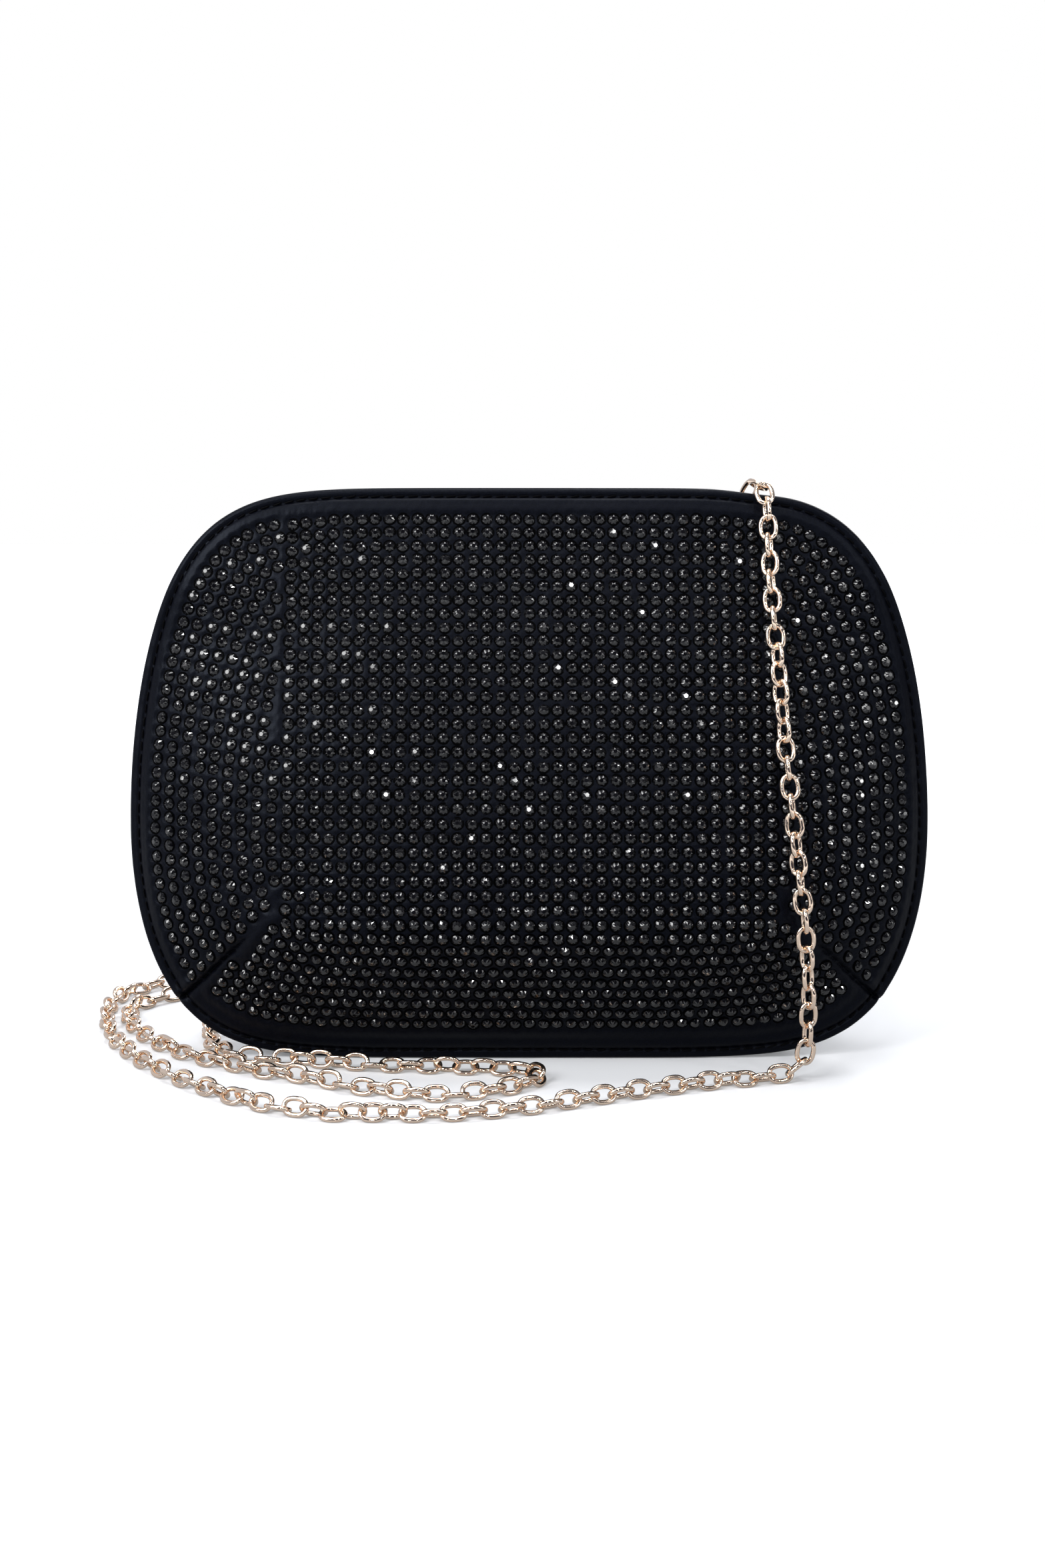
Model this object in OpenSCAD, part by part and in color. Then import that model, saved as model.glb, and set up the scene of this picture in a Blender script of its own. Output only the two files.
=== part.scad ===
// Satin evening bag with a stone-covered front panel and a detachable chain strap.
// The bag leans back on its base: +Z is up, the front faces -Y, and the origin is under
// the middle of the bag on the surface that it stands on.

/* [Bag outline] */
// Width across the side seams
bag_w = 220; // [200:1:240]
// Height from the bottom seam to the front lip, along the panel
bag_h = 157; // [150:1:165]
// Height of the widest part of the outline
widest_h = 65; // [60:1:70]
// Squareness of the outline's corners
corner_power = 6.6; // [5.5:0.1:8]
// Backward lean of the seam plane in degrees
lean = 8; // [7:0.5:9]

/* [Panels] */
// Thickness of the satin shell with its interfacing
satin_t = 1.0; // [0.8:0.1:1.2]
// Thickness of the foam interlining
foam_t = 1.4; // [1:0.1:1.8]
// Thickness of the lining
lining_t = 0.8; // [0.5:0.1:1]
// Fullness of the front and back over the width of the bag
side_power = 3.4; // [2.8:0.1:4]
// Width of the plain border between the outline and the stones
border_w = 8; // [7:0.5:10]
// Height of the stones over the satin
stone_h = 1.1; // [0.8:0.1:1.3]

/* [Mouth] */
// Height of the side seams' upper ends, where the mouth starts
mouth_h = 114; // [112:1:116]
// Height of the fold line that the back lip opens about
fold_h = 118; // [117:1:119]
// Gap between the lips when the snap is closed
lip_gap = 2.0; // [1.6:0.1:2.4]
// Extra gap where the chain comes out between the lips
chain_gap = 3.9; // [3.7:0.1:4.2]
// Drop of the back lip below the front lip
lip_drop = 2.5; // [2:0.1:3]
// Slot between the back panel and the back lip, which the fold takes up
fold_slot = 3.2; // [3:0.1:3.6]

/* [Magnetic snap] */
// Height of the snap along the panel
snap_h = 140; // [139:1:141]
// Radius of the snap's socket and stud
snap_r = 6.5; // [6:0.1:7]
// Radius of the stud's nose
nose_r = 2.4; // [2:0.1:2.6]

/* [Rings and tabs] */
// Wire radius of the D-rings
ring_wire_r = 1.0; // [0.8:0.1:1]
// Distance between the centres of a D-ring's two legs
ring_span = 12; // [11:0.5:12]
// Length of a D-ring's straight legs
ring_leg = 4; // [3.5:0.5:4]
// Width of the satin tab that holds a D-ring
tab_w = 8; // [7:0.5:8]

/* [Chain and clasps] */
// Diameter of the chain's envelope
chain_d = 4.6; // [4.2:0.1:4.8]
// Thickness of a clasp
clasp_t = 3.2; // [3:0.1:3.2]
// Radius of a jump ring to the middle of its wire
jump_r = 2.2; // [2.2:0.1:2.4]

/* [Hidden] */

$fn = 40;

half_w = bag_w / 2;
layer_t = satin_t + foam_t + lining_t;
seam_t = 1.0;
// The foot of the seam plane, which puts the middle of the bag's depth over the origin
foot_y = -8.3;
layers = [0, satin_t, satin_t + foam_t, layer_t];
far = 400;
// Height over which the mouth opens to its full gap
mouth_spread = 18;
// Where the chain comes out between the lips, and how far to the sides the lips make room
chain_x = 58;
chain_spread = 20;
// Where the chain presses the front lip down: depth, place and width, and the height it starts
// at and spreads over
press_deep = 1.5;
press_x = 62;
press_w = 8;
press_from = 142;
press_h = 14;

// Depth of the front over the seam plane, by height along the panel
front_depths = [
    [0, 1], [8, 6.5], [16, 12.4], [24, 18.2], [31, 23], [36, 26], [42, 27], [50, 26.6],
    [65, 24.8], [85, 21.2], [105, 16.7], [125, 11.4], [140, 7.5], [150, 5.2], [157, 3.2]
];
// Depth of the back behind the seam plane, or behind the mouth's gap
back_depths = [
    [0, 1], [1.5, 14], [3, 23], [5, 28], [10, 32], [18, 34.5], [28, 35], [42, 33],
    [65, 28.5], [85, 23.5], [105, 18], [118, 13.5], [128, 7.5], [140, 3.8], [157, 3.2]
];

// Directions and rings of the grid that the panels are swept on, with the directions
// drawn together towards the outline's corners
directions = 48;
corner_draw = 8;
rings = [0.14, 0.3, 0.46, 0.6, 0.71, 0.8, 0.87, 0.93, 0.97, 1];

satin_colour = [0.05, 0.05, 0.07];
lining_colour = [0.12, 0.12, 0.14];
foam_colour = [0.85, 0.85, 0.82];
stone_colour = [0.02, 0.02, 0.03];
gold_colour = [0.93, 0.76, 0.64];

function smooth(t) = let (c = min(1, max(0, t))) c * c * (3 - 2 * c);
function bump(t) = exp(-t * t);
function leaned(x, back, h) =
    [x, foot_y + back * cos(lean) + h * sin(lean), h * cos(lean) - back * sin(lean)];

// The outline: a squared-off oval, wider at the corners than an ellipse
function up_scale(s) = s > 0 ? bag_h - widest_h : widest_h;
function half_at(h) = let (t = (h - widest_h) / up_scale(h - widest_h))
    half_w * pow(max(0.000001, 1 - t * t), 1 / corner_power);
function reach(c, s, tries = 10, g = 1.3) = tries == 0 ? g : reach(c, s, tries - 1,
    g - (pow(g * c, corner_power) + pow(g * s, 2) - 1)
    / (corner_power * pow(c, corner_power) * pow(g, corner_power - 1) + 2 * s * s * g));
function outline(a) = let (g = reach(abs(cos(a)), sin(a)))
    [half_w * g * cos(a), up_scale(sin(a)) * g * sin(a)];
function outline_in(a, inset) = let (q = outline(a)) q * (1 - inset / norm(q));

// How full the panel is at a place, from 0 on the outline to 1 in the middle
function fullness(x, h) = 1 - pow(min(1, abs(x) / half_at(h)), side_power);
function mouth(h) = smooth((h - mouth_h) / mouth_spread);
function edge_t(h) = seam_t + (layer_t - seam_t) * mouth(h);
function panel_depth(x, h, depths) = edge_t(h) + (lookup(h, depths) - edge_t(h)) * fullness(x, h);
function gap_at(x, h) = mouth(h) * (lip_gap + chain_gap * bump((x - chain_x) / chain_spread));

// A layer's depth: full thickness where there is room, pressed together at the seam
function layer_depth(d, k) = d > layer_t ? d - layers[k] : d * (1 - layers[k] / layer_t);

// The front lip gives way a little under the chain
function lip_press(x, h) = press_deep * bump((x - press_x) / press_w) * smooth((h - press_from) / press_h);

function front_point(x, h, k) =
    leaned(x, -layer_depth(panel_depth(x, h, front_depths), k), h - lip_press(x, h));
function front_over(x, h, over) =
    leaned(x, -panel_depth(x, h, front_depths) - over, h - lip_press(x, h));
// The padded base lies flat on the surface. The satin's skin dips just below it and is cut
// level there, and the seam's own edge may come down to it.
under = 0.4;
seam_under = 1;
function lowest(k, at_seam) = at_seam ? (k == 0 ? -seam_under : 0) : (k == 0 ? -under : layers[k]);
function rest_on(p, k, at_seam) = [p.x, p.y, max(p.z, lowest(k, at_seam))];
function back_point(x, h, k, at_seam) = rest_on(
    leaned(x, gap_at(x, h) + layer_depth(panel_depth(x, h, back_depths), k), h - lip_drop * mouth(h)),
    k, at_seam);

function direction(i) = let (t = 360 * i / directions) t + corner_draw * sin(4 * t);
function ring_place(r, i, inset) = let (q = r * outline_in(direction(i), inset)) [q.x, q.y + widest_h];

// Points of two matching skins: the outer one first, each with its middle point last
function front_skin(k) = concat(
    [for (r = rings, i = [0:directions - 1]) let (q = ring_place(r, i, 0)) front_point(q.x, q.y, k)],
    [front_point(0, widest_h, k)]);
function back_skin(k) = concat(
    [for (r = rings, i = [0:directions - 1]) let (q = ring_place(r, i, 0)) back_point(q.x, q.y, k, r == 1)],
    [back_point(0, widest_h, k, false)]);
function stone_skin(over) = concat(
    [for (r = rings, i = [0:directions - 1]) let (q = ring_place(r, i, border_w)) front_over(q.x, q.y, over)],
    [front_over(0, widest_h, over)]);

function step(i) = (i + 1) % directions;
function disc_faces(first, flip) = let (
    count = len(rings),
    quads = [for (j = [0:count - 2], i = [0:directions - 1]) let (
        a = first + j * directions + i, b = first + j * directions + step(i),
        c = b + directions, d = a + directions) each [[a, b, c], [a, c, d]]],
    fan = [for (i = [0:directions - 1]) [first + count * directions, first + step(i), first + i]],
    all_faces = concat(quads, fan))
    [for (f = all_faces) flip ? [f[2], f[1], f[0]] : f];
function rim_faces(outer, inner, flip) = [for (i = [0:directions - 1])
    let (a = outer + i, b = outer + step(i), c = inner + step(i), d = inner + i)
    each (flip ? [[c, b, a], [d, c, a]] : [[a, b, c], [a, c, d]])];

module between_skins(outer, inner, flip) {
    count = len(outer);
    rim = (len(rings) - 1) * directions;
    polyhedron(
        concat(outer, inner),
        concat(disc_faces(0, flip), disc_faces(count, !flip), rim_faces(rim, count + rim, flip)));
}

module front_layer(k) {
    between_skins(front_skin(k), front_skin(k + 1), false);
}

module back_layer(k) {
    between_skins(back_skin(k), back_skin(k + 1), true);
}

// Everything in the bag's own leaning frame: x across, y to the back, z up along the panel
module in_bag() {
    translate([0, foot_y, 0]) rotate([-lean, 0, 0]) children();
}

module below_fold() {
    intersection() {
        children();
        in_bag() translate([-far / 2, -far / 2, fold_h - fold_slot / 2 - far]) cube([far, far, far]);
    }
}

module above_fold() {
    intersection() {
        children();
        in_bag() translate([-far / 2, -far / 2, fold_h + fold_slot / 2]) cube([far, far, far]);
    }
}

module front_satin() { color(satin_colour) front_layer(0); }
module front_foam() { color(foam_colour) front_layer(1); }
module front_lining() { color(lining_colour) front_layer(2); }

module back_satin() {
    color(satin_colour) difference() {
        below_fold() back_layer(0);
        translate([-far / 2, -far / 2, -far]) cube([far, far, far]);
    }
}
module back_foam() { color(foam_colour) below_fold() back_layer(1); }
module back_lining() { color(lining_colour) below_fold() back_layer(2); }

module back_lip_satin() { color(satin_colour) above_fold() back_layer(0); }
module back_lip_foam() { color(foam_colour) above_fold() back_layer(1); }
module back_lip_lining() { color(lining_colour) above_fold() back_layer(2); }

// The stones' field in three blocks, parted by the two side lines and the corner darts
side_line = 69;
dart_tip = [75, 36];
dart_foot = [98, 15];

// Width of the bare strip along a dart, and how far it runs past the dart's foot
dart_strip_w = 2.4;
dart_over = 8;

module stone_field() {
    difference() {
        between_skins(stone_skin(stone_h), stone_skin(0), false);
        for (side = [-1, 1]) dart_strip(side);
    }
}

module dart_strip(side) {
    run = dart_foot - dart_tip;
    in_bag() translate([side * dart_tip.x, -far / 4, dart_tip.y])
        rotate([0, side * atan2(-run.y, run.x) + (side < 0 ? 180 : 0), 0])
        translate([0, 0, -dart_strip_w / 2]) cube([norm(run) + dart_over, far / 4, dart_strip_w]);
}

module block(from_x, to_x) {
    intersection() {
        stone_field();
        translate([from_x, -far / 2, -far / 2]) cube([to_x - from_x, far, far]);
    }
}

module stones_middle() { color(stone_colour) block(-side_line, side_line); }
module stones_left() { color(stone_colour) block(-half_w, -side_line); }
module stones_right() { color(stone_colour) block(side_line, half_w); }

// Topstitching: a fine raised line all round the front, a little in from the edge
stitch_in = 2.3;
stitch_w = 0.6;
stitch_h = 0.3;

module front_topstitch() {
    far_in = stitch_in + stitch_w;
    corners = [[0, stitch_in], [stitch_h, stitch_in], [stitch_h, far_in], [0, far_in]];
    line = [for (corner = corners, i = [0:directions - 1])
        let (q = ring_place(1, i, corner[1])) front_over(q.x, q.y, corner[0])];
    faces = [for (j = [0:3], i = [0:directions - 1]) let (
        next = ((j + 1) % 4) * directions,
        a = j * directions + i, b = j * directions + step(i), c = next + step(i), d = next + i)
        each [[c, b, a], [d, c, a]]];
    color(satin_colour) polyhedron(line, faces);
}

// A flat slip pocket on the back lining
pocket_x = 48;
pocket_low = 40;
pocket_high = 98;
pocket_t = 0.8;
pocket_cols = 8;
pocket_rows = 6;

module inner_pocket() {
    wide = pocket_cols + 1;
    side = wide * (pocket_rows + 1);
    points = [for (over = [0, pocket_t], j = [0:pocket_rows], i = [0:pocket_cols]) let (
        x = -pocket_x + 2 * pocket_x * i / pocket_cols,
        h = pocket_low + (pocket_high - pocket_low) * j / pocket_rows,
        d = layer_depth(panel_depth(x, h, back_depths), 3)) leaned(x, d - over, h)];
    cells = [for (j = [0:pocket_rows - 1], i = [0:pocket_cols - 1]) j * wide + i];
    backs = [for (a = cells) each [[a, a + 1, a + wide + 1], [a, a + wide + 1, a + wide]]];
    fronts = [for (f = backs) [f[2] + side, f[1] + side, f[0] + side]];
    border = concat(
        [for (i = [0:pocket_cols]) i],
        [for (j = [1:pocket_rows]) j * wide + pocket_cols],
        [for (i = [pocket_cols - 1:-1:0]) pocket_rows * wide + i],
        [for (j = [pocket_rows - 1:-1:1]) j * wide]);
    edges = [for (n = [0:len(border) - 1]) let (a = border[n], b = border[(n + 1) % len(border)])
        each [[b, a, a + side], [b, a + side, b + side]]];
    color(lining_colour) polyhedron(points, concat(backs, fronts, edges));
}

// Magnetic snap: the socket in the front, the stud on the back lip
socket_back = -0.9;
socket_front = -4.1;
socket_depth = 1.5;
stud_face = -0.6;
stud_back = 2.7;
nose_l = 1.2;
washer_r = 8;
washer_t = 0.8;
washer_gap = 0.05;

module snap_disc(from_y, to_y, r) {
    in_bag() translate([0, to_y, snap_h]) rotate([90, 0, 0]) cylinder(h = to_y - from_y, r = r);
}

module snap_socket() {
    color(gold_colour) difference() {
        snap_disc(socket_front, socket_back, snap_r);
        snap_disc(socket_back - socket_depth, socket_back + 1, nose_r + 1);
    }
}
module snap_socket_washer() {
    color("silver") snap_disc(socket_front - washer_gap - washer_t, socket_front - washer_gap, washer_r);
}
module snap_stud() {
    color(gold_colour) union() {
        snap_disc(stud_face, stud_back, snap_r);
        snap_disc(stud_face - nose_l, stud_face + 1, nose_r);
    }
}
module snap_stud_washer() {
    color("silver") snap_disc(stud_back + washer_gap, stud_back + washer_gap + washer_t, washer_r);
}

// D-rings and the satin tabs that hold them inside the mouth's two ends
ring_x = 88;
ring_h = 108;
ring_play = 0.06;
tab_loop_r = 2.2;
tab_end_x = 101;
tab_t = 1.6;

module ring_tab(side) {
    color(satin_colour) in_bag() translate([side * ring_x, 0, ring_h]) difference() {
        union() {
            cylinder(h = tab_w, r = tab_loop_r, center = true);
            translate([side > 0 ? 0 : ring_x - tab_end_x, -tab_t / 2, -tab_w / 2])
                cube([tab_end_x - ring_x, tab_t, tab_w]);
        }
        cylinder(h = tab_w + 2, r = ring_wire_r + ring_play, center = true);
    }
}

module d_ring(side) {
    color(gold_colour) in_bag() translate([side * ring_x, 0, ring_h]) union() {
        cylinder(h = ring_span, r = ring_wire_r, center = true);
        for (end = [-1, 1]) translate([0, 0, end * ring_span / 2]) {
            sphere(r = ring_wire_r);
            rotate([0, -side * 90, 0]) cylinder(h = ring_leg, r = ring_wire_r);
        }
        translate([-side * ring_leg, 0, 0]) rotate([90, -side * 90, 0])
            rotate_extrude(angle = 180) translate([ring_span / 2, 0]) circle(r = ring_wire_r);
    }
}

module left_ring_tab() { ring_tab(-1); }
module right_ring_tab() { ring_tab(1); }
module left_d_ring() { d_ring(-1); }
module right_d_ring() { d_ring(1); }

// Lobster clasp: the hook's eye is at the origin and the tail runs to -x
eye_r = 3;
hook_r = 4.5;
gate_from = 15;
gate_to = 100;
pivot = [-3.3, 3.3];
pin_r = 0.5;
pin_play = 0.06;
lever_t = 1.3;
slot_t = 1.5;
tail_x = -10.5;
tail_r = 2.2;
tail_eye_r = 1.3;
tail_t = 1.6;

module clasp_outline() {
    difference() {
        union() {
            circle(r = hook_r);
            translate(pivot) circle(r = 1.5);
            polygon([[-3, -2.9], [-3, 3.4], [-7.5, 2], [-10.5, 1.2], [-10.5, -1.2], [-7.5, -2]]);
        }
        circle(r = eye_r);
        gate_wedge(gate_from, gate_to);
    }
}

module gate_wedge(from_a, to_a) {
    polygon(concat([[0, 0]], [for (a = [from_a:5:to_a]) 8 * [cos(a), sin(a)]]));
}

// The tail is thinner than the hook, so that a jump ring goes through it
module tail_cut(side) {
    translate([tail_x - 5, -5, side > 0 ? tail_t / 2 : -tail_t / 2 - 5]) cube([6.7, 10, 5]);
}

module clasp_body() {
    difference() {
        union() {
            difference() {
                linear_extrude(clasp_t, center = true) clasp_outline();
                for (side = [-1, 1]) tail_cut(side);
            }
            translate([tail_x, 0, 0]) cylinder(h = tail_t, r = tail_r, center = true);
        }
        translate([tail_x, 0, 0]) cylinder(h = clasp_t + 2, r = tail_eye_r, center = true);
        linear_extrude(slot_t, center = true) polygon([[-5.6, 2.2], [-3, 1], [3, 1], [3, 8], [-5.6, 8]]);
    }
    translate(pivot) cylinder(h = slot_t + 0.4, r = pin_r, center = true);
}

module clasp_lever() {
    difference() {
        linear_extrude(lever_t, center = true) union() {
            translate(pivot) circle(r = 1.3);
            polygon([
                [-3.3, 2.2], [-1.6, 2.3], [0.6, 1.9], [1.6, 0.9], [2.5, 1.1],
                [2.4, 2.1], [1.2, 3.6], [-1, 4.6], [-3.3, 4.6]]);
            translate([-1.2, 4.9]) circle(r = 0.9);
        }
        translate(pivot) cylinder(h = 5, r = pin_r + pin_play, center = true);
    }
}

jump_wire_r = 0.5;

module jump_ring() {
    translate([tail_x - jump_r, 0, 0]) rotate([90, 0, 0])
        rotate_extrude() translate([jump_r, 0]) circle(r = jump_wire_r);
}

// The right clasp holds the right D-ring inside the bag
hook_x = ring_x - ring_leg - ring_span / 2 + 0.8;
hook_y = 1.4;

module at_right() {
    in_bag() translate([hook_x, hook_y, ring_h]) children();
}

// The left clasp lies unclipped behind the bag, its tail held up by the chain
loose_x = -49;
loose_y = 45;
loose_z = 2.75;
loose_tilt = 3.5;

module at_left() {
    translate([loose_x, foot_y + loose_y, loose_z]) rotate([0, loose_tilt, 0])
        translate([-tail_x + jump_r, 0, 0]) children();
}

module right_jump_ring() { color(gold_colour) at_right() jump_ring(); }
module right_clasp() { color(gold_colour) at_right() clasp_body(); }
module right_clasp_lever() { color(gold_colour) at_right() clasp_lever(); }
module left_jump_ring() { color(gold_colour) at_left() jump_ring(); }
module left_clasp() { color(gold_colour) at_left() clasp_body(); }
module left_clasp_lever() { color(gold_colour) at_left() clasp_lever(); }

// The chain's centre line. First the stretch in and on the bag, in the bag's leaning frame
// (across, to the back, up along the panel), then the stretch to and along the floor, measured
// back from the seam plane's foot.
route_on_bag = [
    [63.6, 1.4, 108], [58, 1.6, 106.5], [52.5, 1.8, 109], [50, 2, 117], [50, 2.2, 127], [52, 2.4, 137],
    [55, 2.6, 146], [58, 2.6, 152], [60, 2.4, 155.6], [61, 1.2, 157.6], [62, -0.8, 158.4],
    [63, -2.9, 158.2], [63.7, -5, 156.8], [64.2, -6.4, 153.6], [64.6, -8.4, 147], [65, -12.2, 130],
    [66, -15, 115], [67, -18.2, 100], [68, -20.8, 85], [69.5, -23, 70], [71, -24.2, 55],
    [72.5, -24.4, 42], [73.3, -23.4, 33]
];
route_on_floor = [
    [74, -19.6, 24], [74, -19.8, 12], [73.4, -20, 6.4], [71.2, -20.6, 3.2], [67, -21.6, 2.5],
    [60, -23.2, 2.5], [50, -26, 2.5], [36, -31, 2.5], [23, -36, 2.5], [11, -41, 2.5], [-2, -46, 2.5],
    [-16, -49.5, 2.5], [-30, -50.5, 2.5], [-42, -50.5, 2.5], [-54, -49, 2.5], [-67, -44, 2.5],
    [-80, -35, 2.5], [-94, -22, 2.5], [-107, -7, 2.5], [-116, 8, 2.5], [-122, 23, 2.5], [-125, 37, 2.5],
    [-125, 50, 2.5], [-121, 61, 2.5], [-112, 69, 2.5], [-100, 73, 2.5], [-86, 74.5, 2.5],
    [-72, 74, 2.5], [-63, 72, 2.5], [-58, 69, 2.5], [-57, 65, 2.5], [-60, 61, 2.5], [-67, 58.5, 2.5],
    [-78, 57.5, 2.5], [-90, 57.5, 2.5], [-102, 56.5, 2.5], [-110, 53, 2.5], [-116, 47, 2.5],
    [-118.5, 39, 2.5], [-117.5, 30, 2.5], [-113, 20, 2.5], [-105, 8, 2.5], [-95, -2, 2.5],
    [-86, -9, 2.5], [-76, -15, 2.5], [-65, -20.5, 2.5], [-52, -27, 2.5], [-41, -32, 2.5],
    [-30, -35.5, 2.5], [-19, -35.5, 2.5], [-9, -32.5, 2.5], [-2, -28.5, 2.5], [2, -25, 2.5],
    [3, -21.5, 2.5], [1, -18, 2.5], [-3, -16, 2.5], [-10, -15, 2.5], [-20, -14, 2.5], [-31, -13, 2.5],
    [-42, -12, 2.5], [-53, -10.5, 2.5], [-65, -8, 2.5], [-74, -6.5, 2.5], [-82, -3.5, 2.5],
    [-87, 2.5, 2.5], [-90, 10, 2.5], [-92, 19, 2.5], [-92, 28, 2.5], [-88, 36, 2.5], [-80, 41, 2.5],
    [-70, 43.5, 2.5], [-60, 44.8, 2.5], [-51.6, 45, 2.7]
];
route = concat(
    [for (p = route_on_bag) leaned(p.x, p.y, p.z)],
    [for (p = route_on_floor) p + [0, foot_y, 0]]);
sides = 8;

function unit(v) = v / norm(v);
function heading(n) = unit(route[min(n + 1, len(route) - 1)] - route[max(n - 1, 0)]);
// A side direction that is carried along the route, so that the tube doesn't twist
function next_side(s, n) = unit(s - (s * heading(n)) * heading(n));
function sides_along(n, s, list) = n == len(route) ? list
    : let (t = next_side(s, n)) sides_along(n + 1, t, concat(list, [t]));

module chain() {
    turns = sides_along(0, [0, 1, 0], []);
    r = chain_d / 2;
    last = (len(route) - 1) * sides;
    points = [for (n = [0:len(route) - 1], i = [0:sides - 1])
        let (a = 360 * (i + 0.5) / sides, u = turns[n], v = cross(heading(n), u))
        route[n] + r / cos(180 / sides) * (cos(a) * u + sin(a) * v)];
    walls = [for (n = [0:len(route) - 2], i = [0:sides - 1])
        let (a = n * sides + i, b = n * sides + (i + 1) % sides)
        each [[a, a + sides, b + sides], [a, b + sides, b]]];
    caps = [[for (i = [0:sides - 1]) i], [for (i = [sides - 1:-1:0]) last + i]];
    color(gold_colour) polyhedron(points, concat(walls, caps));
}

front_satin();
front_foam();
front_lining();
back_satin();
back_foam();
back_lining();
back_lip_satin();
back_lip_foam();
back_lip_lining();
stones_middle();
stones_left();
stones_right();
front_topstitch();
inner_pocket();
snap_socket();
snap_socket_washer();
snap_stud();
snap_stud_washer();
left_ring_tab();
right_ring_tab();
left_d_ring();
right_d_ring();
chain();
right_jump_ring();
right_clasp();
right_clasp_lever();
left_jump_ring();
left_clasp();
left_clasp_lever();
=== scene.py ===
"""Satin evening bag with a stone-set front, a soft mouth and a cable-chain strap.

The helpers work in millimetres in the bag's leaning frame: x across, back (away from the
front) and h (up along the panels). leaned() turns that into the part's own frame.
"""

import math

import bmesh
import bpy
import numpy as np
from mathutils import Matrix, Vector


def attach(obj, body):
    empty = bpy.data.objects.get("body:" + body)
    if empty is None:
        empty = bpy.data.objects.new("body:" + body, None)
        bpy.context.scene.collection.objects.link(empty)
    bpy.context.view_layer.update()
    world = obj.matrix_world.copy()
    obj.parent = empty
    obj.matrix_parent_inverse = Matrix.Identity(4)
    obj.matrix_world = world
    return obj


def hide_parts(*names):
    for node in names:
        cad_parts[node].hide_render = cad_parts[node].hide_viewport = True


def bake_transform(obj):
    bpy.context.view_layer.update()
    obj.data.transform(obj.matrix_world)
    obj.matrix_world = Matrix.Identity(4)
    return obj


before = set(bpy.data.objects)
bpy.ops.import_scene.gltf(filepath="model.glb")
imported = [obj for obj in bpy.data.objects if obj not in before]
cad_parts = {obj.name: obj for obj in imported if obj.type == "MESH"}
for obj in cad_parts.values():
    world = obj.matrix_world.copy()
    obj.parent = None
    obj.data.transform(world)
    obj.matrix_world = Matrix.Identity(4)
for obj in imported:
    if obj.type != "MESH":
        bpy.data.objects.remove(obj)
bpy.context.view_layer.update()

MM = 0.001

# The bag's driving sizes, as in the part's design
HALF_W = 110.0
BAG_H = 157.0
WIDEST_H = 65.0
CORNER_POWER = 6.6
SIDE_POWER = 3.4
LEAN = math.radians(8)
FOOT_Y = -8.3
SEAM_T = 1.0
LAYERS = [0.0, 1.0, 2.4, 3.2]
LAYER_T = LAYERS[-1]
MOUTH_H = 114.0
MOUTH_EASE = 18.0
FOLD_H = 118.0
LIP_GAP = 2.0
CHAIN_GAP = 3.9
CHAIN_AT, CHAIN_SPREAD = 58.0, 20.0
LIP_PRESS, PRESS_AT, PRESS_SPREAD = 0.6, 62.0, 8.0
PRESS_H, PRESS_EASE = 142.0, 14.0
LIP_DROP = 2.5
FRONT_DEPTHS = [
    (0, 1), (8, 6.5), (16, 12.4), (24, 18.2), (31, 23), (36, 26), (42, 27), (50, 26.6),
    (65, 24.8), (85, 21.2), (105, 16.7), (125, 11.4), (140, 7.5), (150, 5.2), (157, 3.2),
]
BACK_DEPTHS = [
    (0, 1), (1.5, 14), (3, 23), (5, 28), (10, 32), (18, 34.5), (28, 35), (42, 33),
    (65, 28.5), (85, 23.5), (105, 18), (118, 13.5), (128, 7.5), (140, 3.8), (157, 3.2),
]

# Stitching, darts and stones
STITCH_IN = 2.6
STITCH_PITCH = 3.4
STITCH_HALF = 1.3
STITCH_WIRE = 0.27
STITCH_LIFT, STITCH_SINK = 0.24, 0.55
DART_TIP = (75.0, 36.0)
DART_FOOT = (99.0, 14.0)
STONE_PITCH = 3.8
ROW_PITCH = 3.83
FIRST_ROW = 9.2
STONE_R = 1.47
FIELD_EDGE = 7.9
QUILT_RISE = 0.45
QUILT_FROM, QUILT_TO = 1.6, 2.9
BOW_H, BOW_EASE = 112.0, 38.0

# Ridges and grooves in the satin as (height, place, width)
STITCH_GROOVE = (-0.6, STITCH_IN, 0.55)
BORDER_PUFF = (0.26, 4.6, 1.4)
EDGE_PUFF = (0.2, 1.3, 0.6)
DART_OUTER_LIP = (0.42, -1.7, 1.5)
DART_INNER_LIP = (0.12, 2.4, 1.5)
DART_CREASE_W = 0.5
FRONT_DART_DEEP, BACK_DART_DEEP = 2.2, 1.3

# Folds in the cloth as (height, wavelength across, wavelength up, seed)
PUCKERS = (0.2, 1.9, 5, 3)
RIPPLES = (0.28, 10, 14, 4)
FRONT_FOLDS = (0.35, 34, 26, 5)
BACK_FOLDS = (0.9, 38, 30, 6)
BACK_FINE_FOLDS = (0.35, 13, 22, 7)
BACK_FOLD_SLANT, BACK_FINE_SLANT = 38 / 60, 13 / 25

# The chain
LINK_LONG = 3.15
LINK_WIDE = 2.1
LINK_WIRE = 0.65
LINK_PITCH = 4.95

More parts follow.
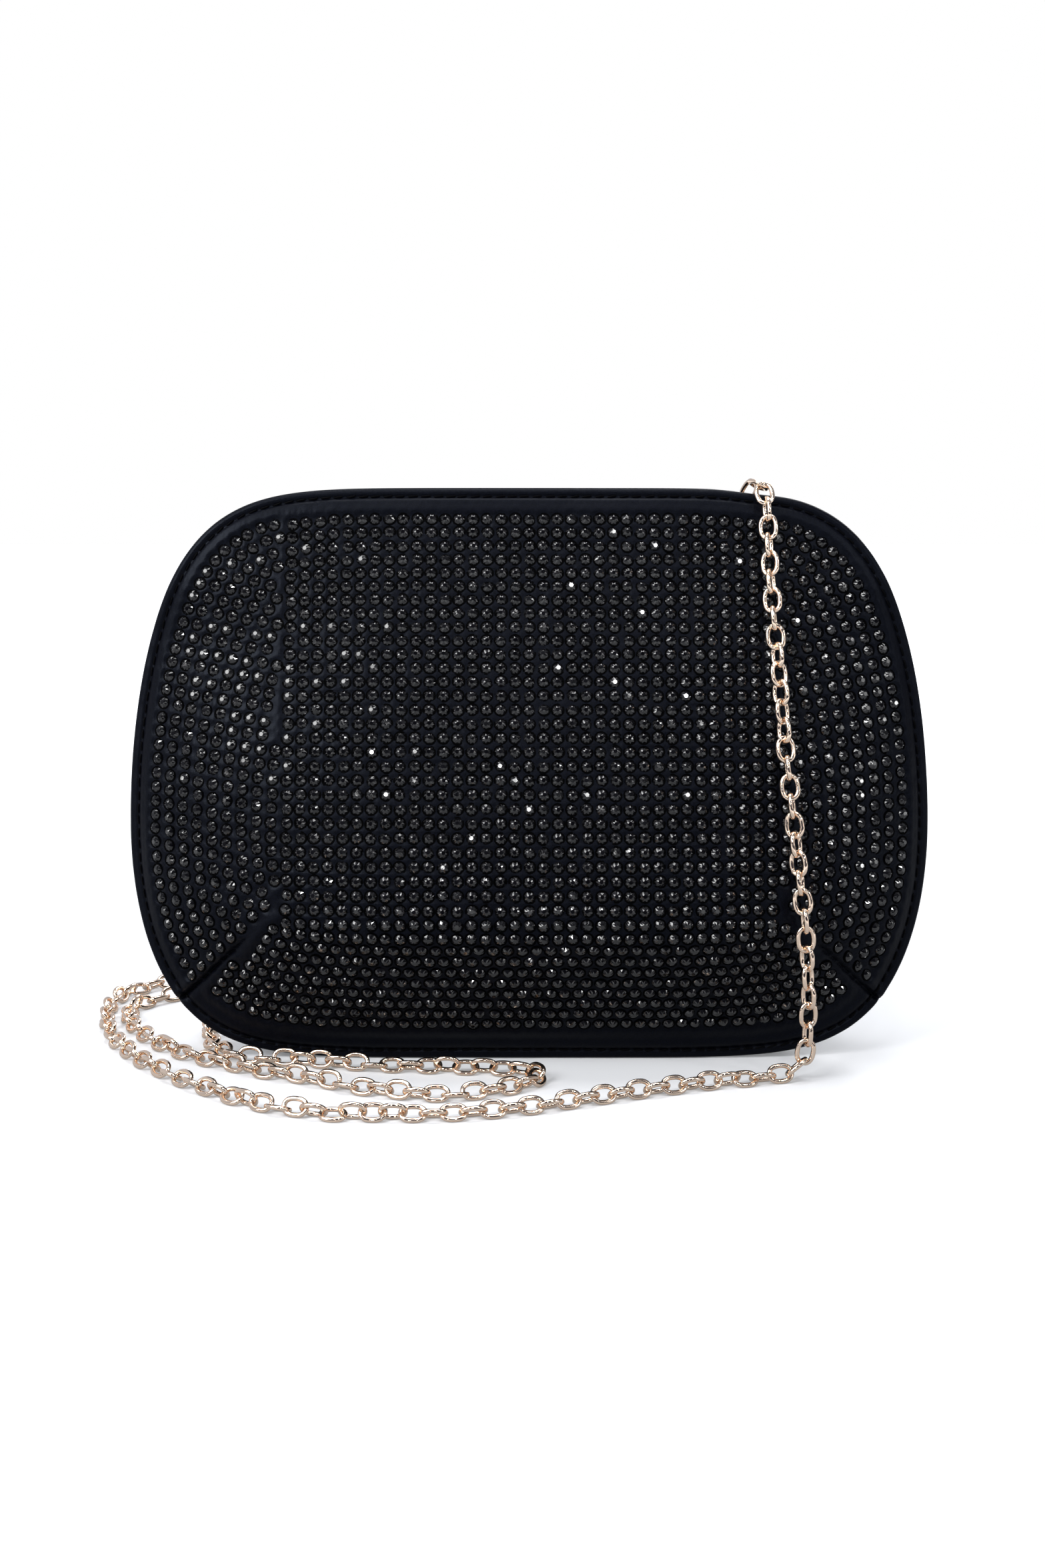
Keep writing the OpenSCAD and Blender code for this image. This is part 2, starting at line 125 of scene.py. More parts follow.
# The strap's middle line: up from the mouth and down the front as (x, back, h), then down to the
# floor, along it (where only x and y change) and to the loose end
ROUTE_ON_BAG = [
    (64.4, 1.4, 108), (58, 1.6, 106.5), (52.5, 1.8, 109), (50, 2, 117), (50, 2.2, 127), (52, 2.4, 137),
    (55, 2.6, 146), (58, 2.6, 152), (60, 2.4, 155.6), (61, 1.2, 157.6), (62, -0.8, 158.4),
    (63, -2.9, 158.2), (63.7, -5, 156.8), (64.2, -6.4, 153.6), (64.6, -8.4, 147), (65, -12.2, 130),
    (66, -15, 115), (67, -18.2, 100), (68, -20.8, 85), (69.5, -23, 70), (71, -24.2, 55),
    (72.5, -24.4, 42), (73.3, -23.4, 33),
]
ROUTE_DOWN = [(74, -19.6, 24), (74, -19.8, 12), (73.4, -20, 6.4), (71.2, -20.6, 3.2)]
ROUTE_ON_FLOOR = [
    (67, -21.6), (60, -23.2), (50, -26), (36, -31), (23, -36), (11, -41), (-2, -46), (-16, -49.5),
    (-30, -50.5), (-42, -50.5), (-54, -49), (-67, -44), (-80, -35), (-94, -22), (-107, -7), (-116, 8),
    (-122, 23), (-125, 37), (-125, 50), (-121, 61), (-112, 69), (-100, 73), (-86, 74.5), (-72, 74),
    (-63, 72), (-58, 69), (-57, 65), (-60, 61), (-67, 58.5), (-78, 57.5), (-90, 57.5), (-102, 56.5),
    (-110, 53), (-116, 47), (-118.5, 39), (-117.5, 30), (-113, 20), (-105, 8), (-95, -2), (-86, -9),
    (-76, -15), (-65, -20.5), (-52, -27), (-41, -32), (-30, -35.5), (-19, -35.5), (-9, -32.5),
    (-2, -28.5), (2, -25), (3, -21.5), (1, -18), (-3, -16), (-10, -15), (-20, -14), (-31, -13),
    (-42, -12), (-53, -10.5), (-65, -8), (-74, -6.5), (-82, -3.5), (-87, 2.5), (-90, 10), (-92, 19),
    (-92, 28), (-88, 36), (-80, 41), (-70, 43.5), (-60, 44.8),
]
ROUTE_END = (-50.6, 45, 2.7)
LYING_H = 2.5
LOW_H = 4.0

# Panel grids: rings of the concentric square grid, and how much they draw in at the edge
PANEL_RINGS = 140
LINING_RINGS = 40
EDGE_GRADING = 1.35
EDGE_ROLL = 1.3
LINING_IN, LINING_ROLL, LINING_STEPS = 3.3, 0.3, 2
LINING_LIFT = 0.1
CHUNK = 2000


# ---- small maths

def stacked(*parts):
    return np.stack(parts, axis=-1)


def smooth(t):
    t = np.clip(t, 0, 1)
    return t * t * (3 - 2 * t)


def bump(t):
    return np.exp(-np.square(t))


def ridge(at, height, place, width):
    return height * bump((at - place) / width)


def unit(v):
    return v / np.linalg.norm(v, axis=-1, keepdims=True)


def lengths_along(line):
    """The length from a line's first point to each of its points."""
    return np.concatenate([[0], np.cumsum(np.linalg.norm(np.diff(line, axis=0), axis=1))])


def cubic(t, start, leaving, end, arriving):
    """From start to end as t goes from 0 to 1, with the given slopes at the two."""
    return ((1 + 2 * t) * (1 - t) ** 2 * start + t * (1 - t) ** 2 * leaving
            + t * t * (3 - 2 * t) * end + t * t * (t - 1) * arriving)


def nearest(x, h, targets):
    """The distance from each place to its nearest target, worked out a chunk at a time."""
    flat = stacked(np.ravel(x), np.ravel(h))
    near = np.empty(len(flat))
    for first in range(0, len(flat), CHUNK):
        part = flat[first:first + CHUNK]
        near[first:first + CHUNK] = ((part[:, None, :] - targets[None]) ** 2).sum(-1).min(1)
    return np.sqrt(near).reshape(np.shape(x))


def curve_through(points):
    """A smooth curve through (place, value) points that never overshoots them."""
    x = np.array([p[0] for p in points], float)
    y = np.array([p[1] for p in points], float)
    step = np.diff(x)
    slope = np.diff(y) / step
    tangent = np.concatenate([[slope[0]], np.zeros(len(x) - 2), [slope[-1]]])
    same_way = slope[1:] * slope[:-1] > 0
    both = step[1:] + step[:-1]
    mean = both * 3 / ((step[1:] * 2 + step[:-1]) / np.where(same_way, slope[:-1], 1)
                       + (step[1:] + step[:-1] * 2) / np.where(same_way, slope[1:], 1))
    tangent[1:-1] = np.where(same_way, mean, 0)

    def value(q):
        q = np.clip(q, x[0], x[-1])
        i = np.clip(np.searchsorted(x, q) - 1, 0, len(step) - 1)
        t = (q - x[i]) / step[i]
        return cubic(t, y[i], step[i] * tangent[i], y[i + 1], step[i] * tangent[i + 1])
    return value


def cloth_noise(u, v, seed):
    """Smooth noise from -1 to 1 with a wavelength of about 1, the same on every run."""
    size = 64
    lattice = np.random.default_rng(seed).uniform(-1, 1, (size, size))
    i, j = np.floor(u).astype(int), np.floor(v).astype(int)
    a, b = smooth(u - i), smooth(v - j)

    def at(di, dj):
        return lattice[(i + di) % size, (j + dj) % size]
    low = at(0, 0) * (1 - a) + at(1, 0) * a
    high = at(0, 1) * (1 - a) + at(1, 1) * a
    return low * (1 - b) + high * b


def folds(x, h, height, across, up, seed):
    return height * cloth_noise(x / across, h / up, seed)


# ---- the bag's shape

front_depth = curve_through(FRONT_DEPTHS)
back_depth = curve_through(BACK_DEPTHS)


def leaned(x, back, h):
    return stacked(x + 0 * h, FOOT_Y + back * math.cos(LEAN) + h * math.sin(LEAN),
                   h * math.cos(LEAN) - back * math.sin(LEAN))


def up_scale(s):
    return np.where(s > 0, BAG_H - WIDEST_H, WIDEST_H)


def half_at(h):
    t = (h - WIDEST_H) / up_scale(h - WIDEST_H)
    return HALF_W * np.maximum(1e-6, 1 - t * t) ** (1 / CORNER_POWER)


def outline_at(c, s):
    """The outline's point in the direction (c, s), from the middle at the widest height."""
    ac = np.abs(c)
    g = np.full(np.shape(c), 1.3)
    for _ in range(12):
        value = (g * ac) ** CORNER_POWER + (g * s) ** 2 - 1
        g = g - value / (CORNER_POWER * ac ** CORNER_POWER * g ** (CORNER_POWER - 1) + 2 * s * s * g)
    return stacked(HALF_W * g * c, up_scale(s) * g * s)


ANGLES = np.linspace(0, 2 * math.pi, 2000, endpoint=False)
ANGLES = ANGLES + math.radians(8) * np.sin(4 * ANGLES)
OUTLINE = outline_at(np.cos(ANGLES), np.sin(ANGLES)) + [0, WIDEST_H]


def edge_distance(x, h):
    """How far each place is in from the outline."""
    return nearest(x, h, OUTLINE[::2])


def fullness(x, h):
    return 1 - np.minimum(1, np.abs(x) / half_at(h)) ** SIDE_POWER


def mouth(h):
    return smooth((h - MOUTH_H) / MOUTH_EASE)


def edge_t(h):
    return SEAM_T + (LAYER_T - SEAM_T) * mouth(h)


def panel_depth(x, h, depths):
    return edge_t(h) + (depths(h) - edge_t(h)) * fullness(x, h)


def layer_depth(d, k):
    return np.where(d > LAYER_T, d - LAYERS[k], d * (1 - LAYERS[k] / LAYER_T))


def gap_at(x, h):
    return mouth(h) * (LIP_GAP + ridge(x, CHAIN_GAP, CHAIN_AT, CHAIN_SPREAD))


def lip_press(x, h):
    """How far the strap presses the front lip down."""
    return ridge(x, LIP_PRESS, PRESS_AT, PRESS_SPREAD) * smooth((h - PRESS_H) / PRESS_EASE)


DART_LENGTH = np.hypot(*np.subtract(DART_FOOT, DART_TIP))
DART_WAY = np.subtract(DART_FOOT, DART_TIP) / DART_LENGTH


def from_dart(x, h):
    """Distance to the side of the nearer dart's line, and place along it from tip to foot."""
    off_x, off_h = np.abs(x) - DART_TIP[0], h - DART_TIP[1]
    across = off_x * DART_WAY[1] - off_h * DART_WAY[0]
    return across, (off_x * DART_WAY[0] + off_h * DART_WAY[1]) / DART_LENGTH


def dart_relief(x, h, deep):
    """A sharp valley along the dart, whose outer side stands over its inner one."""
    across, along = from_dart(x, h)
    on = smooth((along + 0.1) / 0.35) * smooth((1.3 - along) / 0.12)
    crease = -deep * np.exp(-np.abs(across) / DART_CREASE_W)
    lips = deep * (ridge(across, *DART_OUTER_LIP) + ridge(across, *DART_INNER_LIP))
    pucker = 0.3 * np.sin(across * 1.1) * bump((along + 0.1) / 0.35) * bump(across / 9)
    return on * (crease + lips) + pucker


def onto_dart(x, h, reach):
    """Slides the grid places beside a dart onto its line, so that its valley is sharp."""
    across, along = from_dart(x, h)
    move = np.where((np.abs(across) < reach) & (along > -0.05) & (along < 1.2), across, 0)
    return x - np.sign(x) * move * DART_WAY[1], h + move * DART_WAY[0]


def border_relief(x, h, e):
    """The puffed border, the stitch groove, and the small puckers that the stitches pull."""
    around = np.arctan2(h - WIDEST_H, x) * 60
    rolls = ridge(e, *STITCH_GROOVE) + ridge(e, *BORDER_PUFF) + ridge(e, *EDGE_PUFF)
    puckers = folds(around, e, *PUCKERS) * bump((e - STITCH_IN) / 2)
    return rolls + puckers + folds(around, e, *RIPPLES) * bump(e / 7)


def quilting(x, h):
    """How far the satin stands up between the stones, which are pressed into it."""
    near = nearest(x, h, STONE_PLACES)
    return QUILT_RISE * (smooth(near - QUILT_FROM) * (1 - smooth((near - QUILT_TO) / 2.2)) - 0.4)


def front_out(x, h, e):
    """Depth of the front's satin face, with its relief."""
    d = panel_depth(x, h, front_depth)
    field = smooth((e - FIELD_EDGE + 2) / 2)
    relief = (border_relief(x, h, e) + dart_relief(x, h, FRONT_DART_DEEP) * smooth(e / 1.5)
              + folds(x, h, *FRONT_FOLDS) * field)
    return d + relief + quilting(x, h) * smooth((e - 3.5) / 2)


def back_out(x, h, e):
    """Depth of the back's satin face behind the seam plane, without the mouth's gap."""
    d = panel_depth(x, h, back_depth)
    inner = smooth((e - 2) / 8)
    soft = (folds(x + BACK_FOLD_SLANT * h, h, *BACK_FOLDS)
            + folds(x + BACK_FINE_SLANT * h, h, *BACK_FINE_FOLDS))
    crease = -0.7 * bump((h - FOLD_H - 0.0012 * x * x) / 3.2) * smooth((100 - np.abs(x)) / 20)
    slump = 0.8 * np.sin(x / 9 + h / 7) * bump((h - 14) / 12) * smooth((np.abs(x) - 20) / 40)
    return (d + border_relief(x, h, e) + dart_relief(x, h, BACK_DART_DEEP) * smooth(e / 2)
            + inner * (soft + crease + slump))


def soft_floor(z, level):
    """Keeps cloth off the floor, with a short rounded bend where it lies down."""
    over = z - level
    return level + 0.5 * (over + np.sqrt(over * over + 1.2)) - 0.25 * np.exp(-over * over)


# ---- mesh making

def new_piece(name, points, faces, smooth_shaded=True):
    mesh = bpy.data.meshes.new(name)
    mesh.from_pydata((np.asarray(points, float) * MM).tolist(), [], [list(map(int, f)) for f in faces])
    mesh.validate()
    mesh.shade_smooth() if smooth_shaded else mesh.shade_flat()
    piece = bpy.data.objects.new(name, mesh)
    bpy.context.scene.collection.objects.link(piece)
    return piece


def square_grid(n):
    """Directions and radii of a grid of concentric squares, which fits the squared outline."""
    t = np.linspace(-1, 1, 2 * n + 1)
    s, u = np.meshgrid(t, t)
    length = np.maximum(np.hypot(s, u), 1e-9)
    c = np.where(length > 1e-8, s / length, 1.0)
    d = np.where(length > 1e-8, u / length, 0.0)
    r = 1 - (1 - np.maximum(np.abs(s), np.abs(u))) ** EDGE_GRADING
    return c, d, r


def grid_faces(rows, cols, first, flip):
    a = (np.arange(rows - 1)[:, None] * cols + np.arange(cols - 1)[None, :]).ravel() + first
    quads = stacked(a, a + 1, a + cols + 1, a + cols)
    return quads[:, ::-1] if flip else quads


def grid_border(rows, cols):
    low = np.arange(cols)
    right = np.arange(1, rows) * cols + cols - 1
    high = rows * cols - 1 - np.arange(1, cols)
    left = (rows - 1 - np.arange(1, rows - 1)) * cols
    return np.concatenate([low, right, high, left])


def grid_places(n, inset):
    """Grid places in x and h, ending the given distance inside the outline."""
    c, d, r = square_grid(n)
    q = outline_at(c, d)
    size = np.linalg.norm(q, axis=-1)
    q = q * (r * (1 - inset / size))[..., None]
    return q[..., 0], q[..., 1] + WIDEST_H


def shell(name, n, place_out, place_in, outer, inner, inset, roll, flip, roll_steps=5):
    """A closed padded shell: two faces that stop inset + roll inside the outline, joined by an
    edge that rounds out by roll. outer and inner give the depths of the two faces, and
    place_out and place_in their points.
    """
    x, h = grid_places(n, inset + roll)
    x, h = onto_dart(x, h, 26 / n)
    e = edge_distance(x, h)
    d_out, d_in = outer(x, h, e), inner(x, h, e)
    side = 2 * n + 1
    points = [place_out(x, h, d_out).reshape(-1, 3), place_in(x, h, d_in).reshape(-1, 3)]
    border = grid_border(side, side)
    bx, bh = x.ravel()[border], h.ravel()[border]
    top, low = d_out.ravel()[border], d_in.ravel()[border]
    out_way = unit(stacked(bx, bh - WIDEST_H))
    faces = [grid_faces(side, side, 0, flip), grid_faces(side, side, side * side, not flip)]
    last = border
    total = 2 * side * side
    for j in range(1, roll_steps + 1):
        a = math.pi * j / (roll_steps + 1)
        ex = bx + out_way[:, 0] * roll * math.sin(a)
        eh = bh + out_way[:, 1] * roll * math.sin(a)
        depth = (top + low) / 2 + (top - low) / 2 * math.cos(a)
        points.append(place_out(ex, eh, depth))
        ring = total + np.arange(len(border))
        faces.append(ring_faces(last, ring, flip))
        last = ring
        total += len(border)
    faces.append(ring_faces(last, border + side * side, flip))
    return new_piece(name, np.concatenate(points), np.concatenate(faces))


def ring_faces(a, b, flip):
    quads = stacked(a, b, np.roll(b, -1), np.roll(a, -1))
    return quads[:, ::-1] if flip else quads


def tube_points(path, radius, sides, closed=False):
    """Rings of points round a path, carried along it without twisting."""
    path = np.asarray(path, float)
    if closed:
        heading = unit(np.roll(path, -1, 0) - np.roll(path, 1, 0))
    else:
        heading = unit(np.gradient(path, axis=0))
    side = np.cross(heading[0], [0.31, 0.57, 0.76])
    rings = []
    for p, t in zip(path, heading):
        side = unit(side - side.dot(t) * t)
        up = np.cross(t, side)
        a = np.arange(sides) * 2 * math.pi / sides
        rings.append(p + radius * (np.cos(a)[:, None] * side + np.sin(a)[:, None] * up))
    return np.concatenate(rings)


def tube_faces(rings, sides, closed):
    faces = []
    for n in range(rings if closed else rings - 1):
        a = n * sides + np.arange(sides)
        b = ((n + 1) % rings) * sides + np.arange(sides)
        faces.append(stacked(a, np.roll(a, -1), np.roll(b, -1), b))
    return np.concatenate(faces)


def copies(name, shape, shape_faces, places, smooth_shaded):
    """One mesh of many copies of a shape: places is a list of 4x3 arrays (origin, x, y, z)."""
    places = np.asarray(places, float)
    shape = np.asarray(shape, float)
    points = places[:, None, 0] + np.einsum("vi,nij->nvj", shape, places[:, 1:])
    count = len(shape)
    faces = [[v + n * count for v in f] for n in range(len(places)) for f in shape_faces]
    return new_piece(name, points.reshape(-1, 3), faces, smooth_shaded=smooth_shaded)


def resampled(points, step):
    """Points the given chord apart along a smooth curve through the route's points."""
    points = np.asarray(points, float)
    place = np.concatenate([[0], np.cumsum(np.sqrt(np.linalg.norm(np.diff(points, axis=0), axis=1)))])
    dense = []
    for n in range(len(points) - 1):
        before, after = max(n - 1, 0), min(n + 2, len(points) - 1)
        span = place[n + 1] - place[n]
        m0 = (points[n + 1] - points[before]) / (place[n + 1] - place[before]) * span
        m1 = (points[after] - points[n]) / (place[after] - place[n]) * span
        t = np.linspace(0, 1, 60, endpoint=False)[:, None]
        dense.append(cubic(t, points[n], m0, points[n + 1], m1))
    dense = np.concatenate(dense + [points[-1:]])
    kept = [dense[0]]
    for p in dense:
        if np.linalg.norm(p - kept[-1]) >= step:
            kept.append(p)
    return np.array(kept)


# ---- where things lie on the bag

def front_place(x, h, depth):
    return leaned(x, -depth, h - lip_press(x, h))


def back_place(x, h, depth, level=0.0):
    points = leaned(x, gap_at(x, h) + depth, h - LIP_DROP * mouth(h))
    points[..., 2] = soft_floor(points[..., 2], level)
    return points


def foam_face(depths):
    """The inner face of a padded panel, which the satin's turned edge wraps round."""
    def depth(x, h, e):
        return layer_depth(panel_depth(x, h, depths), 2) * smooth((e - 1.5) / 1.8)
    return depth


def lining_face(depths, k):
    def depth(x, h, e):
        return layer_depth(panel_depth(x, h, depths), k)
    return depth


def surface_frames(x, h, face, along=None):
    """Points on a satin face, with two unit directions in it and the one out of it."""
    def at(a, b):
        return face(a, b, edge_distance(a, b))
    near = 0.25
    point = at(x, h)
    u = unit(at(x + near, h) - at(x - near, h))
    v = at(x, h + near) - at(x, h - near)
    out = unit(np.cross(u, v))
    if along is not None:
        step = near * unit(along)
        u = unit(at(x + step[:, 0], h + step[:, 1]) - at(x - step[:, 0], h - step[:, 1]))
    return point, u, np.cross(out, u), out


def front_face(x, h, e):
    return front_place(x, h, front_out(x, h, e))


def back_face(x, h, e):
    return back_place(x, h, back_out(x, h, e))


# ---- the stones

STONE_TABLE_R = 0.56
STONE_TABLE_Z = 1.0
STONE_MID_Z = 0.69
STONE_GIRDLE_Z = 0.2
STONE_MID_R = 1.06
# The near-black ring round each stone is painted shade, standing for the shadow in the gap between stone
# and satin
SHADOW_RING_R = 1.86
SHADOW_RING_Z = 0.13
DART_CLEAR = 2.9
STONE_CLEAR = 2.95
MIDDLE_COLUMNS = 17
LOW_BORDER = 11.5
SIDE_CURVES = 13
SIDE_STRETCH = 0.36
SIDE_FROM = 64.5
STONE_NUDGE = 0.13
STONE_TILT = 0.055


def ring_of(count, r, z, turn=0.0):
    a = (np.arange(count) + turn) * 2 * math.pi / count
    return stacked(r * np.cos(a), r * np.sin(a), np.full(count, z))


def stone_shape():
    """A flat-backed stone with a table and 8-fold crown, in a narrow near-black ring that is painted
    shade for the gap round it.
    """
    points = np.concatenate([
        ring_of(8, STONE_TABLE_R, STONE_TABLE_Z), ring_of(8, STONE_MID_R, STONE_MID_Z, 0.5),
        ring_of(16, STONE_R, STONE_GIRDLE_Z), ring_of(16, STONE_R, SHADOW_RING_Z - 0.04),
        ring_of(16, SHADOW_RING_R, SHADOW_RING_Z), ring_of(16, SHADOW_RING_R + 0.04, -0.25)])
    table, mid, girdle, foot, shade_rim, shade_base = 0, 8, 16, 32, 48, 64
    faces = [list(range(table, mid))]
    for k in range(8):
        faces.append([table + k, mid + k, table + (k + 1) % 8])
        faces.append([table + k, mid + (k + 7) % 8, girdle + 2 * k])
        faces.append([table + k, girdle + 2 * k, mid + k])
        faces.append([mid + k, girdle + 2 * k, girdle + 2 * k + 1])
        faces.append([mid + k, girdle + 2 * k + 1, girdle + (2 * k + 2) % 16])
    glass_faces = len(faces)
    for top, low in ((girdle, foot), (foot, shade_rim), (shade_rim, shade_base)):
        faces += [[top + i, low + i, low + (i + 1) % 16, top + (i + 1) % 16] for i in range(16)]
    faces.append(list(range(shade_base, shade_base + 16))[::-1])
    return points, faces, glass_faces


def row_heights():
    """Heights of the stones' rows, spaced evenly along the front's curve from the top."""
    h = np.linspace(BAG_H, 0, 4000)
    run = lengths_along(stacked(h, panel_depth(0 * h, h, front_depth)))
    rows = np.arange(60) * ROW_PITCH + FIRST_ROW
    return np.interp(rows[rows < run[-1] - LOW_BORDER], run, h)


def places_along(line, run, steps):
    return stacked(np.interp(steps, run, line[:, 0]), np.interp(steps, run, line[:, 1]))


def middle_stones():
    """Straight rows that bow with the outline's top, and below the darts staggered rows that
    follow the outline's bottom from dart to dart.
    """
    places = []
    edge, way = outline_part(OUTLINE[:, 1] < WIDEST_H, OUTLINE[:, 0])
    for k, row in enumerate(row_heights()):
        x = np.arange(-MIDDLE_COLUMNS, MIDDLE_COLUMNS + 1) * STONE_PITCH
        if row > DART_TIP[1] + 1:
            bow = np.sqrt(np.maximum(0, 1 - np.abs(x / HALF_W) ** CORNER_POWER)) - 1
            bowed = row + (BAG_H - WIDEST_H) * bow * smooth((row - BOW_H) / BOW_EASE)
            places.append(stacked(x, bowed))
            continue
        line = edge + way * row
        across, _ = from_dart(line[:, 0], line[:, 1])
        true_inset = edge_distance(line[:, 0], line[:, 1]) > row - 0.2
        line = line[true_inset & ((across > DART_CLEAR) | (np.abs(line[:, 0]) < 60))]
        run = lengths_along(line)
        middle = np.interp(0, line[:, 0], run)
        reach = int(middle / STONE_PITCH + 1)
        steps = middle + (np.arange(-reach, reach) + (0.5 if k % 2 else 0)) * STONE_PITCH
        places.append(places_along(line, run, steps[(steps > 0) & (steps < run[-1])]))
    return np.concatenate(places)


def outline_part(chosen, order_by):
    """Part of the outline in order, with the directions into the bag."""
    ahead = np.roll(OUTLINE, -1, 0) - np.roll(OUTLINE, 1, 0)
    inward = unit(stacked(-ahead[:, 1], ahead[:, 0]))
    order = np.argsort(order_by[chosen])
    return OUTLINE[chosen][order], inward[chosen][order]


def side_stones(side):
    """Rows that follow the outline from the dart up to the middle block."""
    edge, way = outline_part(OUTLINE[:, 0] > 0,
                             np.arctan2(OUTLINE[:, 1] - WIDEST_H, OUTLINE[:, 0]))
    rows = []
    for j in range(SIDE_CURVES):
        inset = FIELD_EDGE + (STONE_PITCH + SIDE_STRETCH * way[:, :1] ** 2) * j
        line = edge + way * inset
        across, _ = from_dart(line[:, 0], line[:, 1])
        clear = ((across < -DART_CLEAR) & (line[:, 0] > SIDE_FROM)
                 & (edge_distance(line[:, 0], line[:, 1]) > inset[:, 0] - 0.4))
        line = line[clear]
        if len(line) < 2:
            continue
        run = lengths_along(line)
        rows.append(places_along(line, run, np.arange(0, run[-1], STONE_PITCH)) * [side, 1])
    return np.concatenate(rows)


def clear_of(places, others, distance):
    """Places that stay clear of the others and of each other, first come first served."""
    kept = []
    for p in places:
        near = np.array(list(others) + kept)
        if not len(near) or np.min(np.hypot(*(near - p).T)) > distance:
            kept.append(p)
    return np.array(kept)


def nudged(places, seed):
    """Stones set by hand lie slightly off their rows."""
    return places + np.random.default_rng(seed).uniform(-STONE_NUDGE, STONE_NUDGE, places.shape)


MIDDLE = nudged(middle_stones(), 51)
LEFT = nudged(clear_of(side_stones(-1), MIDDLE, STONE_CLEAR), 52)
RIGHT = nudged(clear_of(side_stones(1), MIDDLE, STONE_CLEAR), 53)
STONE_PLACES = np.concatenate([MIDDLE, LEFT, RIGHT])


def stones(name, places, seed, node):
    rng = np.random.default_rng(seed)
    x, h = places[:, 0], places[:, 1]
    point, u, v, out = surface_frames(x, h, front_face)
    tilt = rng.normal(0, STONE_TILT, (len(x), 2))
    out = unit(out + tilt[:, :1] * u + tilt[:, 1:] * v)
    spin = rng.uniform(0, 2 * math.pi, len(x))[:, None]
    u = unit(np.cos(spin) * u + np.sin(spin) * v)
    u = unit(u - (u * out).sum(-1, keepdims=True) * out)
    v = np.cross(out, u)
    shape, faces, glass_faces = stone_shape()
    piece = copies(name, shape, faces, np.stack([point, u, v, out], axis=1), False)
    piece.data.materials.append(MATERIALS["jet_glass"])
    # Painted shade: the stone's side below the girdle and the ring round it take a near-black material
    # for the shadow round the stone
    piece.data.materials.append(MATERIALS["stone_shadow_ring"])
    index = np.tile(np.where(np.arange(len(faces)) < glass_faces, 0, 1), len(x))
    piece.data.polygons.foreach_set("material_index", index.astype(np.int32))
    finished(piece, None, "stones", "bag", node)


# ---- materials

def material(name, **values):
    """A Principled material with the given socket values: its tree, shader and object coordinates."""
    made = bpy.data.materials.new(name)
    made.use_nodes = True
    shader = made.node_tree.nodes["Principled BSDF"]
    for key, value in values.items():
        socket = shader.inputs[key.replace("_", " ")]
        socket.default_value = (*value, 1.0) if isinstance(value, tuple) and len(value) == 3 else value
    MATERIALS[name] = made
    return made.node_tree, shader, add(made.node_tree, "ShaderNodeTexCoord").outputs["Object"]


def add(tree, kind, links=None, **values):
    node = tree.nodes.new(kind)
    for key, value in values.items():
        if key in node.inputs.keys():
            node.inputs[key].default_value = value
        else:
            setattr(node, key, value)
    for socket, source in (links or {}).items():
        tree.links.new(source, node.inputs[socket])
    return node


def mixed(tree, factor, a, b):
    """A colour between a and b."""
    node = add(tree, "ShaderNodeMix", data_type="RGBA")
    tree.links.new(factor, node.inputs[0])
    node.inputs[6].default_value = (*a, 1)
    node.inputs[7].default_value = (*b, 1)
    return node.outputs[2]


def coloured(tree, shader, factor, a, b):
    tree.links.new(mixed(tree, factor, a, b), shader.inputs["Base Color"])


def roughened(tree, shader, value, least, most):
    tree.links.new(spread(tree, value, 0.3, 0.7, least, most), shader.inputs["Roughness"])


def spread(tree, value, low, high, to_low, to_high):
    node = add(tree, "ShaderNodeMapRange", {0: value})
    node.inputs[1].default_value = low
    node.inputs[2].default_value = high
    node.inputs[3].default_value = to_low
    node.inputs[4].default_value = to_high
    return node.outputs[0]


def noise(tree, where, scale, detail=2.0):
    return add(tree, "ShaderNodeTexNoise", {"Vector": where}, Scale=scale, Detail=detail).outputs["Fac"]


def bumped(tree, shader, height, strength, distance):
    node = add(tree, "ShaderNodeBump", {"Height": height}, Strength=strength, Distance=distance)
    tree.links.new(node.outputs["Normal"], shader.inputs["Normal"])


def weave(tree, where):
    """Crossing threads, as two sets of bands."""
    bands = []
    for way, pitch in (("X", 0.00024), ("Z", 0.00048)):
        wave = add(tree, "ShaderNodeTexWave", {"Vector": where}, bands_direction=way,
                   Scale=1 / pitch / 20, Distortion=0.6, Detail=1.0)
        bands.append(wave.outputs["Fac"])
    return add(tree, "ShaderNodeMath", {0: bands[0], 1: bands[1]}, operation="MULTIPLY").outputs[0]


def satin():
    tree, shader, where = material("satin", Roughness=0.42, Specular_IOR_Level=0.1, Sheen_Weight=0.01,
                                   Sheen_Roughness=0.3, Sheen_Tint=(0.45, 0.5, 0.7),
                                   Specular_Tint=(0.7, 0.8, 1.0))
    threads = noise(tree, where, 3200, 1.5)
    coloured(tree, shader, spread(tree, threads, 0.3, 0.7, 0, 1),
             (0.0001, 0.0001, 0.0003), (0.002, 0.0023, 0.0055))
    roughened(tree, shader, noise(tree, where, 60, 3), 0.38, 0.48)
    height = add(tree, "ShaderNodeMath", {0: threads, 1: weave(tree, where)}, operation="ADD")
    bumped(tree, shader, height.outputs[0], 0.4, 0.00008)


def twill():
    tree, shader, where = material("twill", Roughness=0.75, Specular_IOR_Level=0.2,
                                   Sheen_Weight=0.15, Sheen_Roughness=0.5)
    rib = add(tree, "ShaderNodeTexWave", {"Vector": where}, bands_direction="DIAGONAL",
              Scale=110, Distortion=0.4).outputs["Fac"]
    coloured(tree, shader, rib, (0.011, 0.011, 0.014), (0.026, 0.026, 0.031))
    bumped(tree, shader, rib, 0.4, 0.0001)


def thread():
    tree, shader, where = material("thread", Roughness=0.5, Specular_IOR_Level=0.03, Sheen_Weight=0.01)
    twist = noise(tree, where, 5200, 1)
    coloured(tree, shader, twist, (0.0002, 0.0002, 0.0004), (0.0014, 0.0015, 0.0024))
    bumped(tree, shader, twist, 0.4, 0.00008)


